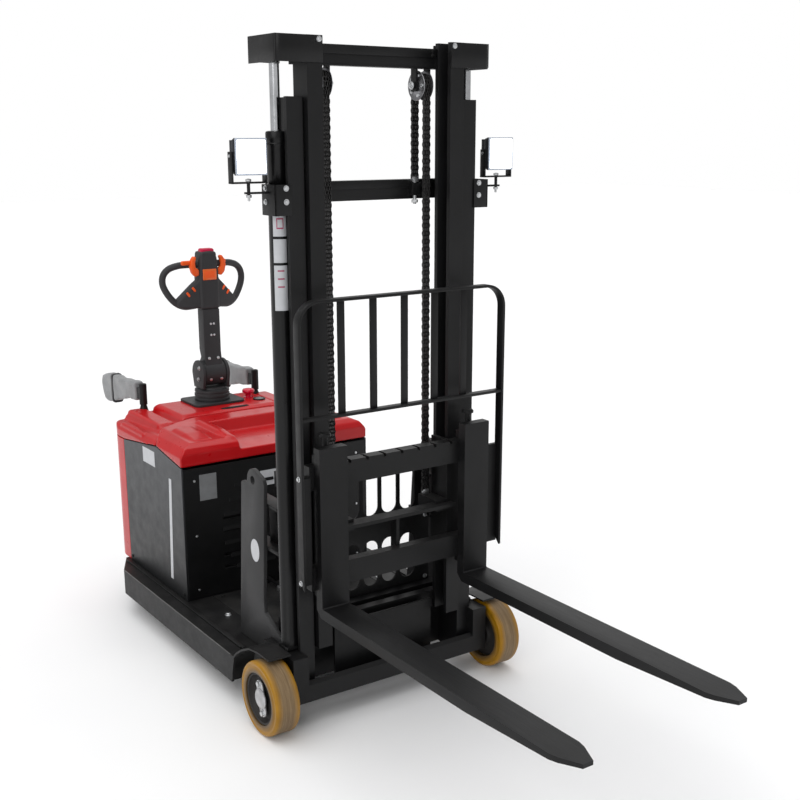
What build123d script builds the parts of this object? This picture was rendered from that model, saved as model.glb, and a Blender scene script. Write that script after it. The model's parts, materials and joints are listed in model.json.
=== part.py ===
from build123d import *
import math
import os

os.makedirs("parts", exist_ok=True)

# Electric stacker.  Millimetres.  X forward (forks), Y to the machine's left, Z up.
# Every X below is counted from the front axle; save() moves it to the row's origin.

# ---------------------------------------------------------------- driving dimensions
# front wheels
WHEEL_R = 125.0
WHEEL_W = 90.0
WHEEL_OUTER_Y = 497.0
AXLE_R = 20.0
RUN_GAP = 0.05          # radial clearance of a running fit
CLEAR = 6.0             # clearance between pieces that pass each other

# chassis
FRAME_HALF_W = 473.0
FRAME_BOTTOM = 82.0
DECK_Z = 183.0
ARCH_REAR_X = -240.0
PLATE = 10.0
CROSS_TOP = 160.0       # low enough for the lowered carriage

# body
BODY_FRONT_X = -744.0
BODY_REAR_X = -1470.0
BODY_HALF_W = 401.0
BODY_TOP = 739.0
BODY_FRONT_TOP = 704.0
BODY_SLOPE_X = -967.0
HOOD_REAR_Z = 698.0
TRIM_FRONT_X = -1300.0
SHEET = 6.0
CORNER_R = 120.0
SEAM_GAP = 5.0

# hood
SHOULDER_Z = 764.0
RIM_Z = 744.0
PLATEAU_Z = 800.0
LID_TOP_Z = 787.0
PLATEAU_HALF_W = 235.0
TRAY_HALF_W = 158.0
TRAY_Z = 742.0
LID_HINGE_X = -1125.0
LID_HINGE_Z = 787.0

# mast
MAST_FRONT_X = 30.0
INNER_IN_Y = 232.0
INNER_OUT_Y = 284.0
INNER_REAR_X = -52.0
INNER_BOTTOM = 256.0
INNER_TOP = 2160.0
OUTER_WEB_Y = 292.0
OUTER_OUT_Y = 346.0
OUTER_FRONT_X = 15.0
OUTER_REAR_X = -112.0
OUTER_BOTTOM = 90.0
OUTER_TOP = 1990.0
CAP_T = 5.0
FLANGE = 16.0
WEB = 12.0
CYL_X = -45.0
CYL_Y = 350.0
CYL_R = 29.0
CYL_TOP = 1894.0
CYL_BOTTOM = 266.0
ROD_R = 15.0
ROD_BOTTOM = 452.0

# chain
SHEAVE_X = -66.0
SHEAVE_Y = 185.0
SHEAVE_Z = 2032.0
SHEAVE_PITCH_R = 32.0
SHEAVE_RIM_R = 46.0
SHEAVE_W = 36.0
CHAIN_W = 26.0
CHAIN_T = 14.0
CHAIN_ANCHOR_Z = 1742.0
CARRIAGE_ANCHOR_Z = 690.0

# carriage and forks
BAR_X0 = 60.0
BAR_X1 = 97.0
BAR_H = 76.0
BAR_TOP = 900.0
CARRIAGE_H = 407.0
BAR_HALF_W = 345.0
FORK_T = 35.0
FORK_W = 100.0
FORK_Y = 278.0
FORK_L = 1150.0
FORK_TOP_Z = 441.0
SHANK_TOP = 960.0

# load backrest
REST_X = 106.0
REST_T = 8.0
REST_HALF_W = 388.0
REST_TOP = 1413.0
REST_LOW = 1050.0
REST_BAR_W = 24.0
REST_BARS_Y = (-232.0, -116.0, 0.0, 116.0, 232.0)

# tiller
TILLER_X = -1310.0
TILT_Z = 922.0
TILT_R = 50.0
TILLER_HEAD_Z = 1300.0
TILLER_LOOP_HALF_W = 160.0
GRIP_IN_Y = 90.0

# drive wheel
DRIVE_X = -1310.0
DRIVE_R = 125.0
DRIVE_W = 76.0
DRIVE_MOUNT_Z = 383.0

# operator platform
PLATFORM_HINGE_Z = 200.0
PLATFORM_HINGE_X = BODY_REAR_X - CLEAR - 20

# operator guard arms
POST_X = -1423.0
POST_Y = 259.0
POST_TOP = 886.0
ARM_REAR_X = -1845.0
ARM_LOW_Z = 744.0
ARM_NEAR_Z = 806.0      # clear of the hood when the arm swings out
ARM_Z1 = 884.0
ARM_T = 38.0

FORK_TIP_X = BAR_X1 + FORK_T + FORK_L
ORIGIN_SHIFT = -(FORK_TIP_X + ARM_REAR_X) / 2


# ---------------------------------------------------------------- helpers
def save(name, shape):
    """Write one node, moved from the axle's frame to the row's frame."""
    shape = shape.moved(Location((ORIGIN_SHIFT, 0, 0)))
    shape.label = name
    export_step(shape, f"parts/{name}.step")


def box(x0, x1, y0, y1, z0, z1):
    """A box between two corners."""
    size = (abs(x1 - x0), abs(y1 - y0), abs(z1 - z0))
    middle = ((x0 + x1) / 2, (y0 + y1) / 2, (z0 + z1) / 2)
    return Pos(*middle) * Box(*size)


def rod_y(x, z, radius, y0, y1):
    """A round bar along Y."""
    return Pos(x, (y0 + y1) / 2, z) * Rot(90, 0, 0) * Cylinder(radius, abs(y1 - y0))


def rod_x(y, z, radius, x0, x1):
    """A round bar along X."""
    return Pos((x0 + x1) / 2, y, z) * Rot(0, 90, 0) * Cylinder(radius, abs(x1 - x0))


def rod_z(x, y, radius, z0, z1):
    """A round bar along Z."""
    return Pos(x, y, (z0 + z1) / 2) * Cylinder(radius, abs(z1 - z0))


def slab_xz(points, y0, y1):
    """An outline in X and Z, carried from y0 to y1."""
    face = make_face(Polyline(*[(x, z) for x, z in points], close=True))
    low, high = min(y0, y1), max(y0, y1)
    return Pos(0, high, 0) * Rot(90, 0, 0) * extrude(face, high - low)


def slab_xy(points, z0, z1):
    """An outline in X and Y, carried from z0 to z1."""
    face = make_face(Polyline(*points, close=True))
    return Pos(0, 0, z0) * extrude(face, z1 - z0)


def slab_yz(points, x0, x1):
    """An outline in Y and Z, carried from x0 to x1."""
    face = make_face(Polyline(*points, close=True))
    return Pos(min(x0, x1), 0, 0) * (Plane.YZ * extrude(face, abs(x1 - x0)))


def side_name(side):
    """The machine's own left is +Y."""
    return "left" if side > 0 else "right"


def mirrored(shape, side):
    """A shape drawn for the left side, on either side."""
    return shape if side > 0 else mirror(shape, Plane.XZ)


# ---------------------------------------------------------------- front wheels
def wheel_tyre(radius, width, hub_r, shoulder):
    """A press-on tyre centred on the origin, with rounded shoulders."""
    ring = Rot(90, 0, 0) * (Cylinder(radius, width) - Cylinder(hub_r, width))
    rims = ring.edges().filter_by(GeomType.CIRCLE)
    outer = [e for e in rims if abs(e.radius - radius) < 1]
    return fillet(outer, shoulder)


def front_wheels():
    """Load wheels: tyre and hub, turning on a fixed stub axle."""
    hub_r = WHEEL_R - 38
    middle_y = WHEEL_OUTER_Y - WHEEL_W / 2
    for side in (1, -1):
        place = Pos(0, side * middle_y, WHEEL_R)
        save(f"tyre_{side_name(side)}", place * wheel_tyre(WHEEL_R, WHEEL_W, hub_r, 7))
        half = WHEEL_W / 2
        disc = rod_y(0, 0, hub_r, -half + 6, half - 6)
        disc -= rod_y(0, 0, hub_r - 12, half - 16, half)
        disc -= rod_y(0, 0, hub_r - 12, -half, -half + 16)
        disc += rod_y(0, 0, 38, -half + 6, half - 4)
        disc -= rod_y(0, 0, AXLE_R + RUN_GAP, -half, half - 12)
        cap = rod_y(0, 0, 24, half - 4, half - 1)
        disc += cap
        save(f"hub_{side_name(side)}", place * mirrored(disc, side))


# ---------------------------------------------------------------- chassis
def side_rail():
    """Left side rail: skirt, top ledge and the curved wheel arch cut."""
    y1 = FRAME_HALF_W
    skirt = slab_xy(
        [
            (ARCH_REAR_X, y1),
            (-1200, y1),
            (-1330, BODY_HALF_W + PLATE),
            (-1330, BODY_HALF_W - 4),
            (-1196, y1 - PLATE - 3),
            (ARCH_REAR_X, y1 - PLATE),
        ],
        FRAME_BOTTOM,
        DECK_Z,
    )
    ledge = slab_xy(
        [
            (ARCH_REAR_X, y1 - 4),
            (-1200, y1 - 4),
            (-1330, BODY_HALF_W),
            (-1330, 300),
            (ARCH_REAR_X, 300),
        ],
        DECK_Z - PLATE,
        DECK_Z,
    )
    inner = box(-1330, OUTER_REAR_X - 40, 336, 336 + PLATE, FRAME_BOTTOM + 10, DECK_Z)
    arch = slab_xz(
        [(ARCH_REAR_X - 1, FRAME_BOTTOM), (ARCH_REAR_X - 1, DECK_Z), (ARCH_REAR_X + 24, DECK_Z)],
        y1 - PLATE,
        y1,
    )
    return skirt + ledge + inner + arch


def chassis_frame():
    """Side rails, cross members, mast foot box and the stub axles."""
    frame = side_rail() + mirror(side_rail(), Plane.XZ)
    frame += box(BODY_FRONT_X - 30, BODY_FRONT_X, -346, 346, FRAME_BOTTOM + 10, DECK_Z)
    frame += box(-1130, -1110, -346, 346, FRAME_BOTTOM + 10, DECK_Z)
    wheel_in = WHEEL_OUTER_Y - WHEEL_W
    for side in (1, -1):
        y_in, y_out = side * 336, side * (wheel_in - 14)
        frame += box(OUTER_REAR_X - 40, 52, y_in, y_out, FRAME_BOTTOM + 8, 250)
        frame += rod_y(0, WHEEL_R, 34, y_out, side * (wheel_in - 4))
        frame += rod_y(0, WHEEL_R, AXLE_R, y_out, side * (WHEEL_OUTER_Y - 16))
    frame += front_cross() + fender(1) + fender(-1) + drive_mount()
    save("chassis_frame", frame)


def front_cross():
    """Low cross plate in front of the mast, with a bevelled top."""
    x0, x1, bevel = MAST_FRONT_X + 8, MAST_FRONT_X + 22, 12
    return slab_xz(
        [
            (x0, FRAME_BOTTOM + 8),
            (x1, FRAME_BOTTOM + 8),
            (x1, CROSS_TOP - bevel),
            (x0 + 2, CROSS_TOP),
            (x0, CROSS_TOP),
        ],
        -336,
        336,
    )


def drive_mount():
    """Bridge that carries the drive unit."""
    z0 = DRIVE_MOUNT_Z
    bridge = box(DRIVE_X - 120, -1090, -340, 340, z0, z0 + 14)
    bridge += box(-1104, -1090, -340, 340, DECK_Z - 40, z0)
    return bridge - rod_z(DRIVE_X, 0, 46, z0 - 1, z0 + 15)


def deck():
    """Bolted floor plate between the mast and the body."""
    plate = box(BODY_FRONT_X + 2, -390, -298, 298, DECK_Z - PLATE, DECK_Z)
    save("deck_plate", plate)


def fender(side):
    """Curved sheet over a front wheel."""
    outer = [
        (ARCH_REAR_X + 1, FRAME_BOTTOM + 12),
        (ARCH_REAR_X + 4, 148),
        (ARCH_REAR_X + 18, 184),
        (-200, 205),
        (-160, 232),
        (-105, 258),
        (-40, 268),
        (36, 268),
    ]
    inner = [(x + 5, z - 5) for x, z in outer]
    inner[-1] = (36, 262)
    return slab_xz(outer + inner[::-1], side * (WHEEL_OUTER_Y - WHEEL_W - 15), side * FRAME_HALF_W)


def stays():
    """Mast stays: eyed side plates with the bracket that ties them to the mast."""
    y0, y1 = 348.0, 362.0
    eye = (-296.0, 762.0)
    eye_r = 15.0
    for side in (1, -1):
        plate = slab_xz(
            [
                (-386, DECK_Z),
                (-386, 700),
                (-366, 728),
                (-336, 740),
                (-328, 762),
                (-296, 762),
                (-262, 762),
                (-222, 750),
                (-206, 726),
                (-204, 322),
                (-90, 268),
                (-90, 250),
                (-158, 250),
                (-212, DECK_Z),
            ],
            side * y0,
            side * y1,
        )
        plate += rod_y(eye[0], eye[1] + 2, 36, side * y0, side * y1)
        plate -= rod_y(eye[0], eye[1], eye_r, side * (y0 - 1), side * (y1 + 1))
        shelf = box(-296, OUTER_REAR_X, side * OUTER_WEB_Y, side * y0, 700, 712)
        web = box(-240, OUTER_REAR_X, side * (OUTER_WEB_Y + 8), side * (OUTER_WEB_Y + 18), 560, 700)
        low = box(-296, OUTER_REAR_X, side * OUTER_WEB_Y, side * y0, 548, 560)
        save(f"stay_{side_name(side)}", plate + shelf + web + low)


# ---------------------------------------------------------------- body
def body_panels():
    """Dark side panels, louvred front panel, rear panel and red corner trims."""
    trim_x = BODY_REAR_X + CORNER_R
    for side in (1, -1):
        panel = slab_xz(
            [
                (BODY_FRONT_X, DECK_Z + 1),
                (BODY_FRONT_X, BODY_FRONT_TOP - 2),
                (BODY_SLOPE_X, BODY_TOP - 2),
                (TRIM_FRONT_X, HOOD_REAR_Z - 2),
                (TRIM_FRONT_X, DECK_Z + 1),
            ],
            side * (BODY_HALF_W - SHEET),
            side * BODY_HALF_W,
        )
        save(f"side_panel_{side_name(side)}", panel)
        bend = Pos(trim_x, side * (BODY_HALF_W - CORNER_R), 0) * (
            rod_z(0, 0, CORNER_R, DECK_Z + 1, HOOD_REAR_Z - 2)
            - rod_z(0, 0, CORNER_R - SHEET, DECK_Z, BODY_TOP)
        )
        bend &= box(
            BODY_REAR_X - 1,
            trim_x,
            side * (BODY_HALF_W - CORNER_R),
            side * (BODY_HALF_W + 1),
            DECK_Z,
            BODY_TOP,
        )
        bend += box(
            trim_x - 0.1,
            TRIM_FRONT_X - 1,
            side * (BODY_HALF_W - SHEET),
            side * BODY_HALF_W,
            DECK_Z + 1,
            HOOD_REAR_Z - 2,
        )
        save(f"corner_trim_{side_name(side)}", bend)
    inner_w = BODY_HALF_W - SHEET - 1
    front = box(BODY_FRONT_X - SHEET, BODY_FRONT_X, -inner_w, inner_w, DECK_Z + 1, BODY_FRONT_TOP - 8)
    for group_y in (-195, 195):
        for row in range(5):
            front -= box(
                BODY_FRONT_X - SHEET,
                BODY_FRONT_X,
                group_y - 45,
                group_y + 45,
                283 + 49 * row,
                293 + 49 * row,
            )
    save("front_panel", front)
    rear_w = BODY_HALF_W - CORNER_R - 1
    rear = box(BODY_REAR_X, BODY_REAR_X + SHEET, -rear_w, rear_w, DECK_Z + 1, HOOD_REAR_Z - 2)
    for side in (1, -1):
        x0, z0 = PLATFORM_HINGE_X - 20, PLATFORM_HINGE_Z - 15
        ear = box(x0, BODY_REAR_X, side * 262, side * 274, z0, z0 + 37)
        ear -= rod_y(PLATFORM_HINGE_X, PLATFORM_HINGE_Z, 8 + RUN_GAP, side * 260, side * 276)
        rear += ear
    save("rear_panel", rear)


def battery_block():
    """Plain block: traction battery and counterweight."""
    block = box(-1090, BODY_FRONT_X - 40, -BODY_HALF_W + 30, BODY_HALF_W - 30, DECK_Z, 660)
    save("battery_block", block)


def seam_line(offset):
    """Outline of the lid seen from above, its rear edge moved by offset."""
    half = BODY_HALF_W + 5
    rear = [
        (half, BODY_SLOPE_X),
        (350, -1045),
        (262, -1098),
        (182, -1128),
    ]
    left = [(x + offset, y) for y, x in rear]
    right = [(x + offset, -y) for y, x in reversed(rear)]
    return left + right


def crown(half_w, edge_z, top_w, top_z):
    """Cross-section of the hood: rounded over at both sides."""
    step_w, step_z = (half_w - top_w) * 0.3, (top_z - edge_z) * 0.62
    left = [(half_w, 600), (half_w, edge_z), (half_w - step_w, edge_z + step_z), (top_w, top_z)]
    return slab_yz(left + [(-y, z) for y, z in reversed(left)], BODY_REAR_X - 1, BODY_FRONT_X + 1)


def hood_solid():
    """The whole hood before it is parted along the seam."""
    edge = [(BODY_SLOPE_X, BODY_TOP), (TRIM_FRONT_X, HOOD_REAR_Z), (BODY_REAR_X, HOOD_REAR_Z)]
    rim = slab_xz(
        edge
        + [
            (BODY_REAR_X, RIM_Z - 26),
            (BODY_REAR_X + 10, RIM_Z - 8),
            (BODY_REAR_X + 34, RIM_Z),
            (-1180, SHOULDER_Z - 8),
            (BODY_SLOPE_X, SHOULDER_Z),
        ],
        -BODY_HALF_W,
        BODY_HALF_W,
    )
    corners = rim.edges().filter_by(Axis.Z).sort_by(Axis.X)
    rim = fillet(corners[:2], CORNER_R - 1) & crown(BODY_HALF_W, 728, 356, SHOULDER_Z)
    shoulder = slab_xz(
        [
            (BODY_REAR_X + 24, RIM_Z - 20),
            (BODY_REAR_X + 24, SHOULDER_Z - 8),
            (BODY_REAR_X + 36, SHOULDER_Z),
            (POST_X + 40, SHOULDER_Z),
            (-1010, SHOULDER_Z + 8),
            (-1010, BODY_TOP + 2),
        ],
        -336,
        336,
    ) & crown(336, RIM_Z, 312, SHOULDER_Z + 8)
    plateau = slab_xz(
        [
            (BODY_REAR_X + 70, SHOULDER_Z - 20),
            (BODY_REAR_X + 70, PLATEAU_Z - 8),
            (BODY_REAR_X + 84, PLATEAU_Z),
            (-1150, PLATEAU_Z),
            (-1124, LID_TOP_Z + 3),
            (-1080, LID_TOP_Z + 1),
            (-1080, SHOULDER_Z - 20),
        ],
        -PLATEAU_HALF_W,
        PLATEAU_HALF_W,
    ) & crown(PLATEAU_HALF_W, SHOULDER_Z, PLATEAU_HALF_W - 26, PLATEAU_Z)
    front = slab_xz(
        [
            (BODY_SLOPE_X, BODY_TOP),
            (BODY_FRONT_X, BODY_FRONT_TOP),
            (BODY_FRONT_X, 752),
            (BODY_FRONT_X - 10, 770),
            (BODY_FRONT_X - 34, LID_TOP_Z - 3),
            (-1080, LID_TOP_Z + 1),
            (-1140, LID_TOP_Z + 2),
            (-1140, BODY_TOP - 20),
        ],
        -BODY_HALF_W,
        BODY_HALF_W,
    ) & crown(BODY_HALF_W, 742, 330, LID_TOP_Z + 3)
    front_zone = slab_xy([(BODY_FRONT_X + 5, 406)] + seam_line(0) + [(BODY_FRONT_X + 5, -406)], 600, 900)
    return rim + shoulder + plateau + (front & front_zone)


def hood():
    """Fixed rear console and the hinged battery lid."""
    whole = hood_solid()
    half = BODY_HALF_W + 5
    front_zone = [(BODY_FRONT_X + 5, half)] + seam_line(SEAM_GAP) + [(BODY_FRONT_X + 5, -half)]
    rear_zone = [(BODY_REAR_X - 5, half)] + seam_line(0) + [(BODY_REAR_X - 5, -half)]
    lid = whole & slab_xy(front_zone, 600, 900)
    console = whole & slab_xy(rear_zone, 600, 900)
    tray_front, tray_high = BODY_FRONT_X + 10, LID_TOP_Z + 20
    tray = slab_xz(
        [(-1012, TRAY_Z), (-1046, tray_high), (tray_front, tray_high), (tray_front, TRAY_Z)],
        -TRAY_HALF_W,
        TRAY_HALF_W,
    )
    lid -= tray
    lid -= box(-960, BODY_FRONT_X - 14, -385, 385, 600, 722)
    lid += rod_y(LID_HINGE_X, LID_HINGE_Z, 2.4, -168, 168)
    slot = box(-1168, -1150, -18, 76, PLATEAU_Z - 14, PLATEAU_Z + 5)
    console -= slot
    save("battery_lid", lid)
    save("console", console)


def controls():
    """Emergency stop, charge gauge and the tiller's plinth."""
    stop_x, stop_y, neck = -1290, 158, PLATEAU_Z + 22
    stop = rod_z(stop_x, stop_y, 14, PLATEAU_Z, neck) + rod_z(stop_x, stop_y, 26, neck, neck + 16)
    save("emergency_stop", stop)
    gauge = rod_z(-1230, 178, 26, PLATEAU_Z, PLATEAU_Z + 5)
    save("charge_gauge", gauge)
    plinth = box(TILLER_X - 90, TILLER_X + 90, -112, 112, PLATEAU_Z, PLATEAU_Z + 10)
    plinth = fillet(plinth.edges().filter_by(Axis.Z), 25)
    save("tiller_plinth", plinth)


# ---------------------------------------------------------------- drive
def drive():
    """Steered drive unit under the console, with its wheel."""
    mount_z = DRIVE_MOUNT_Z
    ring = rod_z(DRIVE_X, 0, 100, mount_z - 24, mount_z - 2)
    leg_y0 = DRIVE_W / 2 + 6
    legs = box(DRIVE_X - 45, DRIVE_X + 45, leg_y0, leg_y0 + 26, DRIVE_R - 46, mount_z - 24)
    legs += box(DRIVE_X - 80, DRIVE_X + 80, leg_y0 - 90, leg_y0 + 26, mount_z - 50, mount_z - 20)
    axle = rod_y(DRIVE_X, DRIVE_R, AXLE_R, -DRIVE_W / 2 + 4, leg_y0 + 4)
    save("drive_yoke", ring + legs + axle)
    motor = rod_z(DRIVE_X, 0, 72, mount_z + 16, mount_z + 230)
    motor += rod_z(DRIVE_X, 0, 40, mount_z - 2, mount_z + 18)
    save("drive_motor", motor)
    place = Pos(DRIVE_X, 0, DRIVE_R)
    save("drive_tyre", place * wheel_tyre(DRIVE_R, DRIVE_W, DRIVE_R - 30, 6))
    hub = rod_y(0, 0, DRIVE_R - 30, -DRIVE_W / 2 + 5, DRIVE_W / 2 - 5)
    hub -= rod_y(0, 0, AXLE_R + RUN_GAP, -DRIVE_W, DRIVE_W)
    save("drive_hub", place * hub)


# ---------------------------------------------------------------- tiller
def tiller():
    """Steering tiller: turning base, tilting arm, head with two hand loops."""
    z0 = PLATEAU_Z + 11
    base = rod_z(TILLER_X, 0, 68, z0, z0 + 44)
    base += rod_z(TILLER_X, 0, 54, z0 + 44, z0 + 57)
    for side in (1, -1):
        base += box(TILLER_X - 42, TILLER_X + 42, side * 46, side * 58, z0 + 52, TILT_Z)
        base += rod_y(TILLER_X, TILT_Z, TILT_R, side * 46, side * 58)
    base += rod_y(TILLER_X, TILT_Z, 12, -50, 50)
    save("tiller_base", base)
    body = box(TILLER_X - 30, TILLER_X + 30, -38, 38, TILT_Z, TILT_Z + 84)
    body += rod_y(TILLER_X, TILT_Z, TILT_R - 4, -40, 40)
    body -= rod_y(TILLER_X, TILT_Z, 12 + RUN_GAP, -60, 60)
    arm = box(TILLER_X - 26, TILLER_X + 26, -34, 34, TILT_Z + 84, TILLER_HEAD_Z - 117)
    save("tiller_arm", body + arm)
    head = box(TILLER_X - 24, TILLER_X + 24, -42, 42, TILLER_HEAD_Z - 20, TILLER_HEAD_Z + 124)
    head = fillet(head.edges().filter_by(Axis.Y), 10)
    head += box(TILLER_X - 27, TILLER_X + 27, -42, 42, TILLER_HEAD_Z - 116, TILLER_HEAD_Z - 15)
    for side in (1, -1):
        low, high = TILLER_HEAD_Z - 112, TILLER_HEAD_Z - 10
        wing = [(40, low), (GRIP_IN_Y, low + 6), (GRIP_IN_Y, high - 44), (40, high)]
        head += slab_yz([(side * y, z) for y, z in wing], TILLER_X - 14, TILLER_X + 14)
    head += box(TILLER_X - 20, TILLER_X + 20, -26, 26, TILLER_HEAD_Z + 124, TILLER_HEAD_Z + 136)
    save("tiller_head", head)
    for side in (1, -1):
        loop = grip_loop()
        save(f"grip_{side_name(side)}", mirrored(loop, side))


def grip_loop():
    """Left hand loop of the tiller head: a bent round bar."""
    z_low, z_high = TILLER_HEAD_Z - 96, TILLER_HEAD_Z + 66
    out = TILLER_LOOP_HALF_W
    path = FilletPolyline(
        (TILLER_X, GRIP_IN_Y, z_low + 2),
        (TILLER_X, GRIP_IN_Y + 24, z_low + 2),
        (TILLER_X, out - 20, z_low + 24),
        (TILLER_X, out, z_low + 78),
        (TILLER_X, out - 12, z_low + 122),
        (TILLER_X, out - 52, z_high),
        (TILLER_X, 42, z_high),
        radius=24,
    )
    section = Plane(origin=path @ 0, z_dir=path % 0) * Circle(14)
    return sweep(section, path)


# ---------------------------------------------------------------- mast
def upright(y0, y1, web_side, x_rear, x_front, z0, z1):
    """A channel: web at one side, flanges to the other."""
    solid = box(x_rear, x_front, y0, y1, z0, z1)
    if web_side == "out":
        hollow = box(x_rear + FLANGE, x_front - FLANGE, y0 - 1, y1 - WEB, z0 - 1, z1 + 1)
    else:
        hollow = box(x_rear + FLANGE, x_front - FLANGE, y0 + WEB, y1 + 1, z0 - 1, z1 + 1)
    return solid - hollow


def outer_mast():
    """Fixed mast section: two uprights, three ties and the chain anchors."""
    tie_x0, tie_x1 = OUTER_REAR_X - 40, OUTER_REAR_X
    post = upright(OUTER_WEB_Y, OUTER_OUT_Y - 10, "in", OUTER_REAR_X, OUTER_FRONT_X, OUTER_BOTTOM, 250)
    post += upright(OUTER_WEB_Y, OUTER_OUT_Y, "in", OUTER_REAR_X, OUTER_FRONT_X, 250, OUTER_TOP)
    mast = post + mirror(post, Plane.XZ)
    for z_low, z_high in ((232, 318), (776, 828), (1680, CHAIN_ANCHOR_Z)):
        mast += box(tie_x0, tie_x1, -OUTER_OUT_Y + 12, OUTER_OUT_Y - 12, z_low, z_high)
    anchor_x0 = SHEAVE_X - SHEAVE_PITCH_R - 10
    for side in (1, -1):
        y = side * SHEAVE_Y
        mast += box(tie_x1, anchor_x0 + 20, y - 16, y + 16, CHAIN_ANCHOR_Z - 50, CHAIN_ANCHOR_Z - 10)
    for side in (1, -1):
        foot_y0, foot_y1 = side * (OUTER_WEB_Y + WEB), side * (CYL_Y + 26)
        mast += box(CYL_X - 30, CYL_X + 30, foot_y0, foot_y1, CYL_BOTTOM - 14, CYL_BOTTOM)
    save("outer_mast", mast)


def guard_plate():
    """Slotted guard between the uprights."""
    x0 = OUTER_REAR_X - 40 - 6
    plate = box(x0, x0 + 6, -OUTER_WEB_Y + 4, OUTER_WEB_Y - 4, 300, 830)
    slot_w, pitch = 62.0, 77.0
    for row_z0, row_z1 in ((345, 510), (602, 780)):
        for k in range(-3, 3):
            y = (k + 0.5) * pitch
            end_r = slot_w / 2
            plate -= box(x0 - 1, x0 + 7, y - end_r, y + end_r, row_z0 + end_r, row_z1 - end_r)
            plate -= rod_x(y, row_z0 + end_r, end_r, x0 - 1, x0 + 7)
            plate -= rod_x(y, row_z1 - end_r, end_r, x0 - 1, x0 + 7)
    save("guard_plate", plate)


def cylinders():
    """Lift cylinders beside the uprights, and their chromed rods."""
    for side in (1, -1):
        y = side * CYL_Y
        floor_z = CYL_BOTTOM + 20
        tube = rod_z(CYL_X, y, CYL_R, CYL_BOTTOM, CYL_TOP)
        tube -= rod_z(CYL_X, y, ROD_R + 6, floor_z, CYL_TOP - 60)
        tube -= rod_z(CYL_X, y, ROD_R + RUN_GAP, floor_z, CYL_TOP + 1)
        save(f"lift_cylinder_{side_name(side)}", tube)
        save(f"lift_rod_{side_name(side)}", rod_z(CYL_X, y, ROD_R, ROD_BOTTOM, INNER_TOP - CAP_T))


def inner_mast():
    """Lifting mast section: uprights, ties, sheave brackets and rod caps."""
    post = upright(INNER_IN_Y, INNER_OUT_Y, "out", INNER_REAR_X, MAST_FRONT_X, INNER_BOTTOM, INNER_TOP)
    tie_x0, tie_x1 = INNER_REAR_X - 32, INNER_REAR_X
    cap = box(-136, 27, INNER_OUT_Y, 384, 2088, INNER_TOP)
    cap -= box(-130, 21, INNER_OUT_Y - 1, 378, 2087, INNER_TOP - CAP_T)
    post += cap
    for y in (SHEAVE_Y - SHEAVE_W / 2 - 10, SHEAVE_Y + SHEAVE_W / 2 + 3):
        post += box(SHEAVE_X - 14, SHEAVE_X + 14, y, y + 7, SHEAVE_Z - 18, 2090)
    post += rod_y(SHEAVE_X, SHEAVE_Z, 10, SHEAVE_Y - SHEAVE_W / 2 - 14, SHEAVE_Y + SHEAVE_W / 2 + 14)
    mast = post + mirror(post, Plane.XZ)
    for z_low, z_high in ((INNER_BOTTOM, INNER_BOTTOM + 60), (2083, 2143)):
        mast += box(tie_x0, tie_x1 + 1, -INNER_OUT_Y + 4, INNER_OUT_Y - 4, z_low, z_high)
    save("inner_mast", mast)


def sheaves():
    """Flanged chain sheaves."""
    for side in (1, -1):
        y = side * SHEAVE_Y
        half = SHEAVE_W / 2
        wheel = rod_y(SHEAVE_X, SHEAVE_Z, SHEAVE_RIM_R, y - half, y + half)
        wheel -= rod_y(SHEAVE_X, SHEAVE_Z, SHEAVE_RIM_R + 1, y - half + 4, y + half - 4)
        wheel += rod_y(SHEAVE_X, SHEAVE_Z, SHEAVE_PITCH_R - CHAIN_T / 2 - 0.5, y - half + 4, y + half - 4)
        wheel -= rod_y(SHEAVE_X, SHEAVE_Z, 10 + RUN_GAP, y - half - 1, y + half + 1)
        save(f"sheave_{side_name(side)}", wheel)


def chains():
    """Lift chains: a run behind each sheave and a run in front of it."""
    for side in (1, -1):
        y = side * SHEAVE_Y
        y0, y1 = y - CHAIN_W / 2, y + CHAIN_W / 2
        for name, x, z0 in (
            ("rear", SHEAVE_X - SHEAVE_PITCH_R, CHAIN_ANCHOR_Z - 10),
            ("front", SHEAVE_X + SHEAVE_PITCH_R, CARRIAGE_ANCHOR_Z),
        ):
            run = box(x - CHAIN_T / 2, x + CHAIN_T / 2, y0, y1, z0, SHEAVE_Z - 2)
            save(f"chain_{name}_{side_name(side)}", run)


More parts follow.
